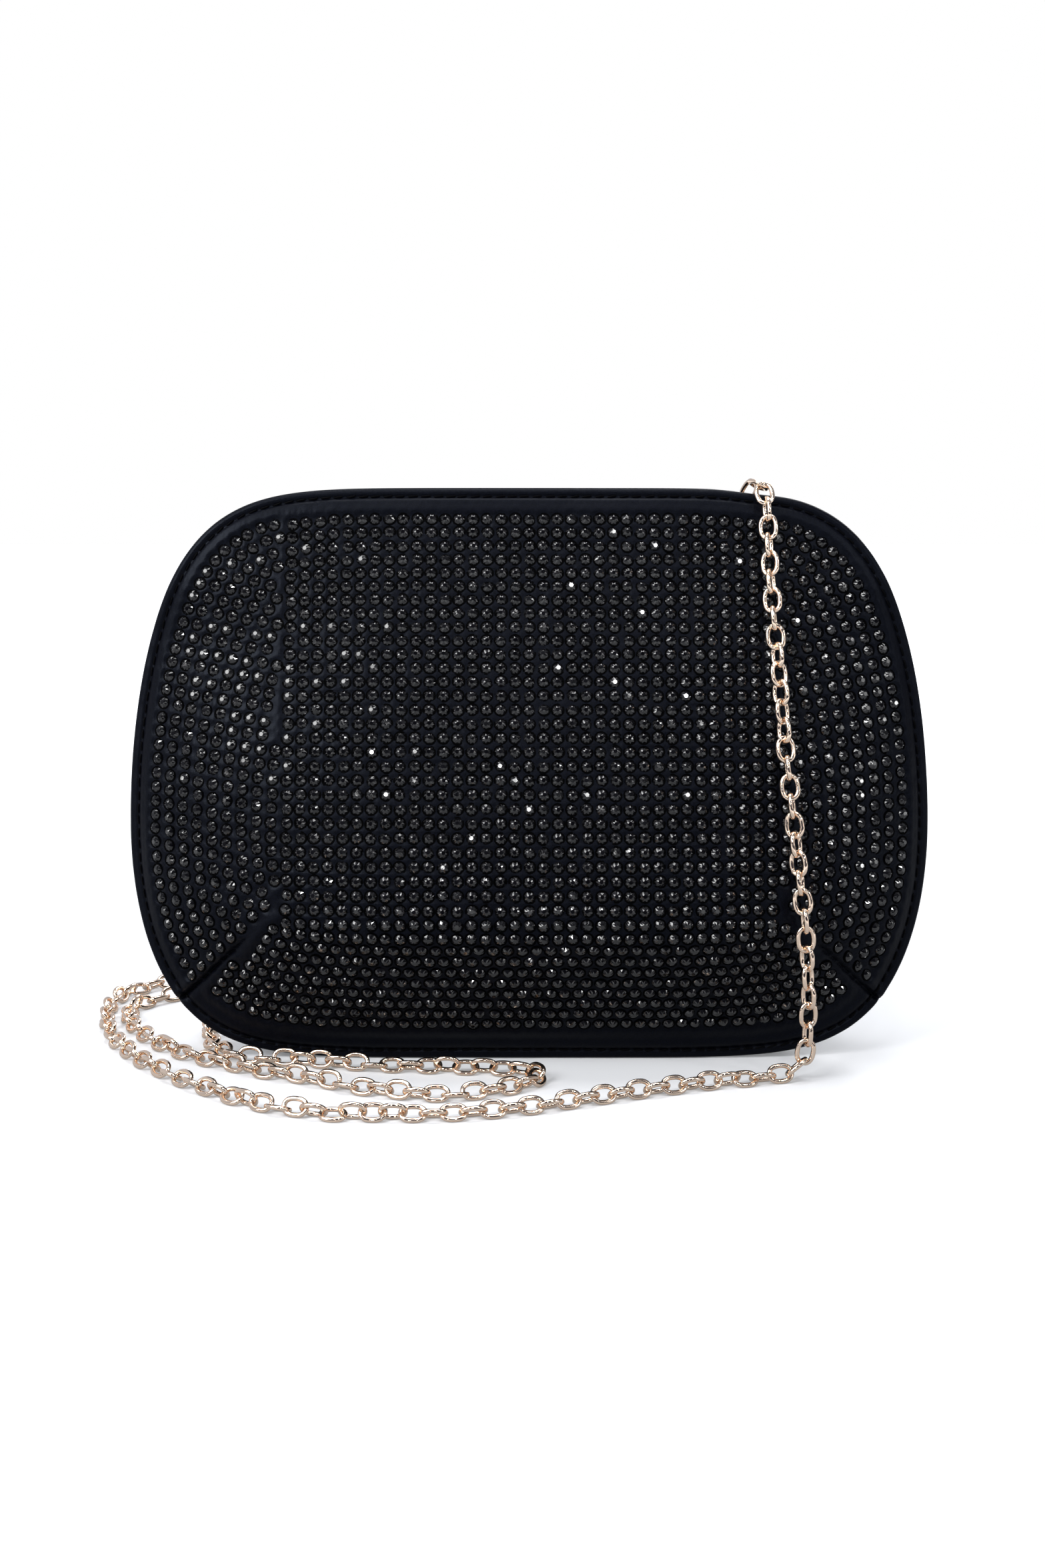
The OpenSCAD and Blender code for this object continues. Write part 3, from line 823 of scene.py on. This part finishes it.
def jet_glass():
    tree, shader, where = material("jet_glass", Roughness=0.05, IOR=1.62)
    coloured(tree, shader, spread(tree, noise(tree, where, 320, 0), 0.35, 0.65, 0, 1),
             (0.0005, 0.0005, 0.0007), (0.0034, 0.0034, 0.0042))
    roughened(tree, shader, noise(tree, where, 900, 1), 0.03, 0.1)


# Painted shade: near-black colour for the ring round each stone, which stands for its shadow
def stone_shadow_ring():
    tree, shader, where = material("stone_shadow_ring", Roughness=0.6, Specular_IOR_Level=0.02)
    coloured(tree, shader, noise(tree, where, 2500), (0.0001, 0.0001, 0.0002), (0.0005, 0.0005, 0.0007))


def plated(name, colour, rough, worn):
    """Polished plate with faint polishing marks and slightly duller patches."""
    tree, shader, where = material(name, Metallic=1.0, Roughness=rough)
    coloured(tree, shader, spread(tree, noise(tree, where, 90, 3), 0.35, 0.7, 0, 1),
             colour, tuple(c * worn for c in colour))
    roughened(tree, shader, noise(tree, where, 700, 2), rough * 0.7, rough * 1.5)
    bumped(tree, shader, noise(tree, where, 1500, 2), 0.06, 0.00005)


MATERIALS = {}
satin()
twill()
thread()
jet_glass()
stone_shadow_ring()
plated("rose_gold", (0.94, 0.745, 0.59), 0.11, 0.92)
plated("snap_gold", (0.88, 0.66, 0.50), 0.2, 0.9)
plated("washer_steel", (0.55, 0.55, 0.57), 0.32, 0.8)


def finished(piece, paint, slot, body, *nodes):
    """Gives a piece its material and body, and hides the CAD nodes that it stands for. slot is not used.
    """
    if paint:
        piece.data.materials.append(MATERIALS[paint])
    if body:
        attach(piece, body)
    if nodes:
        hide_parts(*nodes)
    return piece


# ---- panels and linings

def blended(piece):
    """The back is one cloth across the fold line, from the bag to its lip; this only bakes its placement
    into its mesh.
    """
    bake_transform(piece)


def panels():
    front = shell("front_panel", PANEL_RINGS, front_place, front_place, front_out,
                  foam_face(front_depth), 0, EDGE_ROLL, False)
    finished(front, "satin", "satin", "bag", "front_satin", "front_foam")
    back = shell("back_panel", PANEL_RINGS, back_place,
                 lambda x, h, d: back_place(x, h, d, LAYERS[2]), back_out,
                 foam_face(back_depth), 0, EDGE_ROLL, True)
    finished(back, "satin", "satin", None,
             "back_satin", "back_foam", "back_lip_satin", "back_lip_foam")
    blended(back)


def linings():
    front = shell("front_lining_cloth", LINING_RINGS, front_place, front_place,
                  lining_face(front_depth, 2), lining_face(front_depth, 3),
                  LINING_IN, LINING_ROLL, False, LINING_STEPS)
    finished(front, "twill", "lining", "bag", "front_lining")
    back = shell("back_lining_cloth", LINING_RINGS,
                 lambda x, h, d: back_place(x, h, d, LAYERS[2] + LINING_LIFT),
                 lambda x, h, d: back_place(x, h, d, LAYERS[3] + LINING_LIFT),
                 lining_face(back_depth, 2), lining_face(back_depth, 3),
                 LINING_IN, LINING_ROLL, True, LINING_STEPS)
    finished(back, "twill", "lining", None, "back_lining", "back_lip_lining")
    blended(back)


def stitch_line(face, name, seed):
    """A row of separate thread stitches that sink at both ends, all round a panel's face."""
    closed = np.concatenate([OUTLINE, OUTLINE[:1]])
    centre = np.array([0, WIDEST_H])
    q = closed - centre
    q = centre + q * (1 - STITCH_IN / np.linalg.norm(q, axis=1, keepdims=True))
    run = lengths_along(q)
    count = int(run[-1] / STITCH_PITCH)
    rng = np.random.default_rng(seed)
    at = (np.arange(count) + rng.uniform(-0.06, 0.06, count)) * run[-1] / count
    here = places_along(q, run, at)
    ahead = places_along(q, run, at + 0.5) - here
    point, u, v, out = surface_frames(here[:, 0], here[:, 1], face, ahead)
    slant = rng.normal(0.1, 0.05, (count, 1))
    u = unit(u + slant * v)
    v = np.cross(out, u)
    line = np.linspace(-1, 1, 9)
    path = stacked(line * STITCH_HALF, 0 * line, STITCH_LIFT - STITCH_SINK * line ** 6)
    shape, faces = wire(path, STITCH_WIRE, 8)
    places = np.stack([point, u, v, out], axis=1)
    return copies(name, shape, faces, places[point[:, 2] > 1.0], True)


def stitches():
    finished(stitch_line(front_face, "front_stitches", 21), "thread", "thread", "bag",
             "front_topstitch")
    back = finished(stitch_line(back_face, "back_stitches", 22), "thread", "thread", None)
    blended(back)


# ---- the chain

def link_shape():
    """One oval link of round wire, long side along x, lying in the xy plane."""
    a = np.linspace(0, 2 * math.pi, 28, endpoint=False)
    c, s = np.cos(a), np.sin(a)
    straight = 0.6
    path = stacked((LINK_LONG - straight) * c + straight * np.tanh(3 * c),
                   LINK_WIDE * np.sign(s) * np.abs(s) ** 0.92, 0 * a)
    return wire(path, LINK_WIRE, 12, True)


def turned_to(normal, up, heading, wanted, most):
    """Turns a link's normal about its heading towards a wanted angle from up, by at most so much."""
    side = np.cross(heading, up)
    now = math.degrees(math.atan2(normal @ side, normal @ up))
    turn = (wanted - now + 90) % 180 - 90
    angle = math.radians(now + np.clip(turn, -most, most))
    return math.cos(angle) * up + math.sin(angle) * side


def link_places(points):
    """Each link's place: it hangs turned a quarter from the last, or leans on the floor."""
    rng = np.random.default_rng(31)
    normal = np.array([0.0, 1.0, 0.1])
    places = []
    for n, (a, b) in enumerate(zip(points[:-1], points[1:])):
        centre, heading = (a + b) / 2, unit(b - a)
        natural = np.cross(heading, normal)
        natural = unit(natural - natural @ heading * heading)
        lying = centre[2] < LOW_H
        up = np.array([0, 0, 1.0]) if lying else np.array([0, -1.0, 0.17])
        up = unit(up - up @ heading * heading)
        if lying:
            wanted = (45 if n % 2 else 135) + rng.normal(0, 13)
            normal = turned_to(natural, up, heading, wanted, 34)
        else:
            wanted = 90 * (n % 2) + 34 * math.sin(n * 0.43) + rng.normal(0, 9)
            normal = turned_to(natural, up, heading, wanted, 26)
        side = np.cross(normal, heading)
        lowest = LINK_WIRE + math.hypot(LINK_LONG * heading[2], LINK_WIDE * side[2]) + 0.03
        centre[2] = lowest if lying else max(centre[2], lowest)
        places.append([centre, heading, side, normal])
    return np.array(places)


def route():
    on_bag_part = [leaned(np.float64(x), back, h) for x, back, h in ROUTE_ON_BAG]
    lower_part = ROUTE_DOWN + [(x, y, LYING_H) for x, y in ROUTE_ON_FLOOR] + [ROUTE_END]
    return np.array(on_bag_part + [np.array([x, y + FOOT_Y, z]) for x, y, z in lower_part])


def chain(with_pieces):
    # The pitch that fits a whole number of links
    line = route()
    tries = [resampled(line, LINK_PITCH * (1 + share)) for share in np.linspace(0, 0.01, 24)]
    points = min(tries, key=lambda found: np.linalg.norm(found[-1] - line[-1]))
    shape, faces = link_shape()
    piece = copies("chain_links", shape, faces, link_places(points), True)
    finished(piece, "rose_gold", "chain_metal", "bag", "chain")


# ---- rings, clasps, snap, tabs and pocket

RING_X = 88.0
RING_H = 108.0
RING_SPAN = 12.0
RING_LEG = 4.0
RING_WIRE = 1.0
RING_CORNER = 1.1
TAB_LOOP_R = 2.2
TAB_REACH = 13.0
TAB_HALF_T = 0.82
TAB_W = 8.0
HOOK_R = 4.5
EYE_R = 3.0
GATE_FROM, GATE_TO = 15, 100
PIVOT = (-3.3, 3.3)
CLASP_T = 3.2
LEVER_T = 1.3
SLOT_T = 1.5
TAIL_X = -10.5
TAIL_R = 2.2
TAIL_EYE_R = 1.3
TAIL_T = 1.6
JUMP_R = 2.2
JUMP_WIRE = 0.5
CLASP_BACK = 1.4
LOOSE = (-49.0, 45.0, 2.75)
LOOSE_TILT = math.radians(3.5)
SNAP_H = 140.0
POCKET_X = 48.0
POCKET_LOW, POCKET_HIGH = 40.0, 98.0
POCKET_PITCH, POCKET_SEAM, HEM_DEEP = 2.4, 1.5, 5.4
TAB_STITCH_X = 4.9
WELD = 0.004

# Outlines of drawn plates as (x, y), and of turned ones as (radius, y)
TAB_NECK = [(2.6, -1.15), (4.2, -TAB_HALF_T), (TAB_REACH, -TAB_HALF_T),
            (TAB_REACH, TAB_HALF_T), (4.2, TAB_HALF_T), (2.6, 1.15)]
TAB_INSIDE = [(1.6, -0.5), (3.4, -0.04), (3.4, 0.04), (1.6, 0.5)]
CLASP_SHANK = [(-6.2, 2.6), (-7.6, 1.95), (-8.9, 1.6), (-8.9, -1.6), (-7.6, -1.95), (-5.4, -2.5)]
LEVER_SLOT = [(-5.6, 2.2), (-3, 1), (3, 1), (3, 8), (-5.6, 8)]
LEVER_ARM = [(-1.6, 2.3), (0.6, 1.9), (1.6, 0.95), (2.2, 0.95), (2.5, 1.2), (2.4, 2.1), (1.2, 3.6),
             (0, 4.2)]
RIVET_HEAD = [(0, 0.16), (0.4, 0.14), (0.62, 0.04), (0.66, -0.2), (0, -0.3)]
SNAP_SOCKET = [(0, -4.1), (6.1, -4.1), (6.5, -3.7), (6.5, -1.3), (6.38, -1.02), (6.1, -0.9),
               (5.5, -0.9), (5.25, -1.08), (4.6, -1.08), (4.3, -0.9), (3.75, -0.9), (3.5, -1.0),
               (3.4, -1.25), (3.35, -2.3), (3.2, -2.4), (0, -2.4)]
SNAP_STUD = [(0, -1.8), (1.9, -1.8), (2.25, -1.7), (2.4, -1.45), (2.4, -0.75), (2.6, -0.6), (4.3, -0.6),
             (4.6, -0.45), (5.25, -0.45), (5.5, -0.6), (6.1, -0.6), (6.38, -0.48), (6.5, -0.2),
             (6.5, 2.3), (6.1, 2.7), (0, 2.7)]


def arc(centre, r, start, end, step=9):
    a = np.radians(np.linspace(start, end, max(2, int(abs(end - start) / step) + 1)))
    return list(zip(centre[0] + r * np.cos(a), centre[1] + r * np.sin(a)))


def on_bag(x, back, h):
    """Puts local points at a place in the bag's leaning frame."""
    return lambda p: leaned(x + p[..., 0], back + p[..., 1], h + p[..., 2])


def at_right(p):
    hook_x = RING_X - RING_LEG - RING_SPAN / 2 + 0.8
    return on_bag(hook_x, CLASP_BACK, RING_H)(p)


def at_left(p):
    run = p[..., 0] - TAIL_X + JUMP_R
    c, s = math.cos(LOOSE_TILT), math.sin(LOOSE_TILT)
    return stacked(LOOSE[0] + run * c + p[..., 2] * s, FOOT_Y + LOOSE[1] + p[..., 1],
                   LOOSE[2] - run * s + p[..., 2] * c)


def evaluated_mesh(piece):
    graph = bpy.context.evaluated_depsgraph_get()
    return bpy.data.meshes.new_from_object(piece.evaluated_get(graph))


def plate(loops, thick, round_by):
    """Points and faces of a plate with rounded edges, cut along closed loops in the xy plane."""
    data = bpy.data.curves.new("plate", "CURVE")
    data.dimensions = "2D"
    data.fill_mode = "BOTH"
    data.extrude = thick / 2 - round_by
    data.bevel_depth = round_by
    data.bevel_resolution = 3
    data.offset = -round_by
    for loop in loops:
        spline = data.splines.new("POLY")
        spline.points.add(len(loop) - 1)
        for point, (x, y) in zip(spline.points, loop):
            point.co = (x, y, 0, 1)
        spline.use_cyclic_u = True
    drawn = bpy.data.objects.new("plate", data)
    bpy.context.scene.collection.objects.link(drawn)
    made = bmesh.new()
    made.from_mesh(evaluated_mesh(drawn))
    bmesh.ops.remove_doubles(made, verts=made.verts, dist=WELD)
    bmesh.ops.recalc_face_normals(made, faces=made.faces)
    made.verts.index_update()
    points = np.array([v.co[:] for v in made.verts])
    faces = [[v.index for v in f.verts] for f in made.faces]
    made.free()
    bpy.data.objects.remove(drawn)
    return points, faces


def lathed(profile, sides=56):
    """Points and faces of a shape turned about y, from (radius, y) pairs that start and end on it."""
    points, faces = [[0, profile[0][1], 0]], []
    a = np.arange(sides) * 2 * math.pi / sides
    for r, y in profile[1:-1]:
        points += stacked(r * np.cos(a), np.full(sides, y), r * np.sin(a)).tolist()
    points.append([0, profile[-1][1], 0])
    rings = len(profile) - 2
    for i in range(sides):
        j = (i + 1) % sides
        faces.append([0, 1 + i, 1 + j])
        faces += [[1 + k * sides + i, 1 + (k + 1) * sides + i, 1 + (k + 1) * sides + j, 1 + k * sides + j]
                  for k in range(rings - 1)]
        faces.append([1 + (rings - 1) * sides + j, 1 + (rings - 1) * sides + i, len(points) - 1])
    return np.array(points), faces


def wire(path, radius, sides=14, closed=False):
    points = tube_points(path, radius, sides, closed)
    faces = [list(f) for f in tube_faces(len(path), sides, closed)]
    if not closed:
        faces += [list(range(sides))[::-1], list(range(len(points) - sides, len(points)))]
    return points, faces


def joined(name, place, *shapes):
    points, faces, first = [], [], 0
    for shape, shape_faces in shapes:
        points.append(np.asarray(shape, float))
        faces += [[v + first for v in f] for f in shape_faces]
        first += len(shape)
    piece = new_piece(name, place(np.concatenate(points)), faces)
    piece.data.set_sharp_from_angle(angle=math.radians(38))
    return piece


def gilded(piece, body, *nodes):
    return finished(piece, "rose_gold", "rose_gold", body, *nodes)


def d_ring(name, side, body, node):
    half = RING_SPAN / 2
    bar = [(0, z) for z in np.linspace(RING_CORNER - half, half - RING_CORNER, 9)]
    top = arc((-RING_CORNER, half - RING_CORNER), RING_CORNER, 0, 90, 15)[1:]
    bow = arc((-RING_LEG, 0), half, 90, 270, 6)
    low = arc((-RING_CORNER, RING_CORNER - half), RING_CORNER, -90, 0, 15)[:-1]
    path = np.array([(side * x, 0, z) for x, z in bar + top + bow + low])
    where = on_bag(side * RING_X, 0, RING_H)
    gilded(joined(name, where, wire(path, RING_WIRE, 16, True)), body, node)


def ring_tab(name, side, node):
    """A folded satin loop round the ring's bar, with a row of stitches that closes it."""
    outer = arc((0, 0), TAB_LOOP_R, 45, 315) + TAB_NECK
    inner = arc((0, 0), RING_WIRE + 0.08, 50, 310) + TAB_INSIDE
    points, faces = plate([outer, inner], TAB_W, 0.22)
    x, z = points[:, 0], points[:, 2]
    points[:, 1] += 0.1 * cloth_noise(x / 2.1 + 9, z / 2.4 + 9, 8) * smooth(x / 3)
    points[:, 0] *= side
    faces = [f[::-1] for f in faces] if side < 0 else faces
    where = on_bag(side * RING_X, 0, RING_H)
    piece = new_piece(name, where(points), faces)
    piece.data.set_sharp_from_angle(angle=math.radians(50))
    finished(piece, "satin", "satin", "bag", node)
    made = []
    line = np.linspace(-0.55, 0.55, 6)
    for face in (-1, 1):
        for middle in np.arange(-3, 3.1, 1.5):
            path = stacked(side * (TAB_STITCH_X + 0 * line),
                           face * (TAB_HALF_T + 0.1 - 0.55 * line ** 4), middle + line)
            made.append(wire(path, 0.15, 7))
    finished(joined(name + "_stitches", where, *made), "thread", "thread", "bag")


def cut_by(piece, loop, thick, place):
    """Cuts a slot in the plane of the plate out of a piece."""
    n = len(loop)
    points = np.array([(x, y, z) for z in (-thick / 2, thick / 2) for x, y in loop])
    faces = [list(range(n))[::-1], list(range(n, 2 * n))]
    faces += [[i, (i + 1) % n, n + (i + 1) % n, n + i] for i in range(n)]
    cutter = new_piece("cutter", place(points), faces)
    change = piece.modifiers.new("slot", "BOOLEAN")
    change.operation, change.solver, change.object = "DIFFERENCE", "EXACT", cutter
    mesh = evaluated_mesh(piece)
    piece.modifiers.clear()
    piece.data = mesh
    bpy.data.objects.remove(cutter)


def clasp(side_name, place, lever_body):
    """A cast lobster clasp: a hooked body with a slot, a tail eye, a riveted lever, a jump ring."""
    tip_r = (HOOK_R - EYE_R) / 2
    tip = math.radians(GATE_FROM)
    tip_at = ((EYE_R + tip_r) * math.cos(tip), (EYE_R + tip_r) * math.sin(tip))
    outline = (arc((0, 0), HOOK_R, 222, 360 + GATE_FROM - 4)
               + arc(tip_at, tip_r, GATE_FROM + 8, GATE_FROM + 172, 24)
               + arc((0, 0), EYE_R, 360 + GATE_FROM - 4, GATE_TO) + arc((0, 0), HOOK_R, GATE_TO, 116)
               + arc(PIVOT, 1.5, 62, 165, 15) + CLASP_SHANK)
    eye = plate([arc((TAIL_X, 0), TAIL_R, 0, 350, 10), arc((TAIL_X, 0), TAIL_EYE_R, 0, 345, 15)],
                TAIL_T, 0.4)
    body = joined(f"{side_name}_clasp_body", place, plate([outline], CLASP_T, 0.55))
    cut_by(body, LEVER_SLOT, SLOT_T, place)
    rivets = []
    for face in (-1, 1):
        head, faces = lathed([(r, face * y) for r, y in RIVET_HEAD], 20)
        rivets.append((head[:, [0, 2, 1]] + [*PIVOT, face * CLASP_T / 2], faces))
    tail = joined(f"{side_name}_clasp_tail", place, eye, *rivets)
    gilded(body, "bag", f"{side_name}_clasp")
    gilded(tail, "bag")
    loop = (arc(PIVOT, 1.3, 100, 290, 15) + LEVER_ARM + arc((-1.2, 4.9), 0.9, -15, 195, 20)
            + [(-2.6, 4.6)])
    lever = joined(f"{side_name}_clasp_gate", place, plate([loop], LEVER_T, 0.3))
    gilded(lever, lever_body, f"{side_name}_clasp_lever")
    a = np.radians(np.linspace(184, 536, 41))
    path = stacked(TAIL_X - JUMP_R + JUMP_R * np.cos(a), 0 * a, JUMP_R * np.sin(a))
    ring = joined(f"{side_name}_split_ring", place, wire(path, JUMP_WIRE, 12))
    gilded(ring, "bag", f"{side_name}_jump_ring")
    return [body, tail, lever, ring]


def snap():
    """The magnetic snap's two halves, with their rolled rims."""
    for name, outline, body, node in (("snap_socket_cup", SNAP_SOCKET, "bag", "snap_socket"),
                                      ("snap_stud_cap", SNAP_STUD, "back_lip", "snap_stud")):
        piece = joined(name, on_bag(0, 0, SNAP_H), lathed(outline))
        finished(piece, "snap_gold", "snap_metal", body, node)


def pocket_place(x, h, over):
    """A point that far into the bag from the back lining's inner face."""
    depth = lining_face(back_depth, 3)(x, h, None) - over
    return back_place(x, h, depth, LAYERS[3] + LINING_LIFT)


def pocket():
    """A slip pocket sewn to the back lining on three sides, with a hem along its mouth."""
    across, up = np.linspace(-1, 1, 81), np.linspace(0, 1, 49)
    u, t = np.meshgrid(across, up)
    x, h = POCKET_X * u, POCKET_LOW + (POCKET_HIGH - POCKET_LOW) * t
    below_top = POCKET_HIGH - h
    sewn = smooth((POCKET_X - np.abs(x)) / 5) * smooth((h - POCKET_LOW) / 5)
    hem = smooth((6.3 - below_top) / 0.5)
    slack = sewn * (0.16 + 0.12 * cloth_noise(x / 13 + 7, h / 17 + 3, 9))
    over = 0.2 + slack + 0.22 * hem - 0.16 * bump((below_top - 6) / 0.45) * sewn
    edge_drop = 0.12 * (1 - smooth((POCKET_X - np.abs(x)) / 0.8) * smooth((h - POCKET_LOW) / 0.8))
    rows, cols = x.shape
    points = [pocket_place(x, h, over - edge_drop).reshape(-1, 3),
              pocket_place(x, h, over * 0.25 - 0.05).reshape(-1, 3)]
    border = grid_border(rows, cols)
    faces = np.concatenate([grid_faces(rows, cols, 0, False), grid_faces(rows, cols, rows * cols, True),
                            ring_faces(border, border + rows * cols, False)])
    finished(new_piece("pocket_cloth", np.concatenate(points), faces),
             "twill", "lining", "bag", "inner_pocket")
    seam_x, seam_low, hem_h = POCKET_X - POCKET_SEAM, POCKET_LOW + POCKET_SEAM, POCKET_HIGH - HEM_DEEP
    down = np.arange(POCKET_HIGH - POCKET_SEAM, seam_low, -POCKET_PITCH)
    level = np.arange(-seam_x, seam_x, POCKET_PITCH)
    places = ([(-seam_x, v, 0, 1) for v in down] + [(v, seam_low, 1, 0) for v in level]
              + [(seam_x, v, 0, 1) for v in down[::-1]] + [(v, hem_h, 1, 0) for v in level[1:]])
    made = []
    line = np.linspace(-0.85, 0.85, 6)
    for px, ph, along_x, along_h in places:
        path = pocket_place(px + line * along_x, ph + line * along_h, 0.62 - 0.5 * line ** 4)
        made.append(wire(path, 0.14, 6))
    finished(joined("pocket_stitches", lambda p: p, *made), "thread", "thread", "bag")


def repaint(paint, *nodes):
    for node in nodes:
        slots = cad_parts[node].data.materials
        slots.clear()
        slots.append(MATERIALS[paint])


# ---- camera, floor and lights

LENS = 42.80
EYE = (-1.84, -505.01, 164.53)
EYE_TILT = 80
AIM = (0, 0, 0.08)
SPARKLE_SIZE = (0.07, 0.07)
SPARKLES = [
    (-1.25, -0.6, 0.35), (1.25, -0.65, 0.3), (0.1, -0.6, 1.35), (0.65, -0.7, 1.1), (-0.45, -0.7, 1.25),
    (1.05, -0.55, 0.85), (-0.2, -1.3, 0.6), (0.3, -1.3, 0.75), (0.9, -1.0, 1.0), (-0.8, -1.1, 0.2),
    (0.2, -1.0, 1.1),
]


def camera():
    data = bpy.data.cameras.new("camera")
    data.sensor_width = 36
    data.lens = LENS
    data.clip_end = 20
    eye = bpy.data.objects.new("camera", data)
    eye.location = [c * MM for c in EYE]
    eye.rotation_euler = (math.radians(EYE_TILT), 0, 0)
    bpy.context.scene.collection.objects.link(eye)
    bpy.context.scene.camera = eye


def floor():
    bpy.ops.mesh.primitive_plane_add(size=6)
    plane = bpy.context.object
    plane.name = "floor"
    made = bpy.data.materials.new("floor")
    made.use_nodes = True
    tree = made.node_tree
    shader = tree.nodes["Principled BSDF"]
    # Painted light: the camera sees a lighter floor colour than reflections and bounce light do
    seen = add(tree, "ShaderNodeLightPath").outputs["Is Camera Ray"]
    coloured(tree, shader, seen, (0.22, 0.225, 0.235), (0.64, 0.65, 0.67))
    shader.inputs["Roughness"].default_value = 0.5
    shader.inputs["Specular IOR Level"].default_value = 0.2
    shader.inputs["Emission Color"].default_value = (0.96, 0.98, 1, 1)
    # Painted light and shade: the floor glows by its own emission, dimmed within 0.2 m of the bag and
    # full from 0.7 m out, a painted shade round the bag
    where = add(tree, "ShaderNodeTexCoord").outputs["Object"]
    away = add(tree, "ShaderNodeVectorMath", {0: where}, operation="LENGTH").outputs["Value"]
    tree.links.new(spread(tree, away, 0.2, 0.7, 0.2, 1.0), shader.inputs["Emission Strength"])
    plane.data.materials.append(made)


def lamp(name, place, target, size, power):
    data = bpy.data.lights.new(name, "AREA")
    data.shape = "RECTANGLE"
    data.size, data.size_y = size
    data.energy = power
    light = bpy.data.objects.new(name, data)
    light.location = place
    light.rotation_euler = (Vector(target) - Vector(place)).to_track_quat("-Z", "Y").to_euler()
    bpy.context.scene.collection.objects.link(light)


def studio():
    """A white backdrop, and a softer room that is darker in front of the bag."""
    world = bpy.data.worlds.new("studio")
    world.use_nodes = True
    tree = world.node_tree
    background = tree.nodes["Background"]
    where = add(tree, "ShaderNodeTexCoord").outputs["Generated"]
    parts = add(tree, "ShaderNodeSeparateXYZ", {0: where})
    front = spread(tree, parts.outputs["Y"], -0.75, 0.1, 1, 0)
    room = mixed(tree, front, (0.6, 0.62, 0.68), (0.06, 0.06, 0.085))
    right = spread(tree, parts.outputs["X"], -0.6, 0.9, 1, 0.4)
    room = add(tree, "ShaderNodeVectorMath", {0: room}, operation="SCALE")
    tree.links.new(right, room.inputs["Scale"])
    seen = add(tree, "ShaderNodeLightPath").outputs["Is Camera Ray"]
    shade = add(tree, "ShaderNodeMix", data_type="RGBA")
    tree.links.new(seen, shade.inputs[0])
    tree.links.new(room.outputs[0], shade.inputs[6])
    shade.inputs[7].default_value = (1, 1, 1, 1)
    tree.links.new(shade.outputs[2], background.inputs["Color"])
    bpy.context.scene.world = world


def lights():
    studio()
    lamp("key_left", (-0.95, -0.75, 1.0), AIM, (0.8, 0.8), 20)
    lamp("fill_right", (1.1, -0.7, 0.6), AIM, (0.25, 0.7), 1.5)
    lamp("top", (0.0, 0.15, 1.3), (0, 0, 0), (0.8, 0.5), 8)
    lamp("behind", (0.6, 1.3, 0.9), AIM, (0.9, 0.7), 9)
    for n, place in enumerate(SPARKLES):
        lamp(f"sparkle_{n}", place, AIM, SPARKLE_SIZE, 1.1 if place[2] > 0.5 else 0.25)


# ---- everything

camera()
lights()
floor()
chain(clasp("right", at_right, "right_lever") + clasp("left", at_left, "left_lever"))
d_ring("left_ring_wire", -1, "left_ring", "left_d_ring")
d_ring("right_ring_wire", 1, "right_ring", "right_d_ring")
ring_tab("left_tab_loop", -1, "left_ring_tab")
ring_tab("right_tab_loop", 1, "right_ring_tab")
snap()
pocket()
repaint("washer_steel", "snap_socket_washer", "snap_stud_washer")
panels()
linings()
stitches()
stones("stones_middle_set", MIDDLE, 41, "stones_middle")
stones("stones_left_set", LEFT, 42, "stones_left")
stones("stones_right_set", RIGHT, 43, "stones_right")

bpy.context.scene.view_settings.view_transform = "Standard"
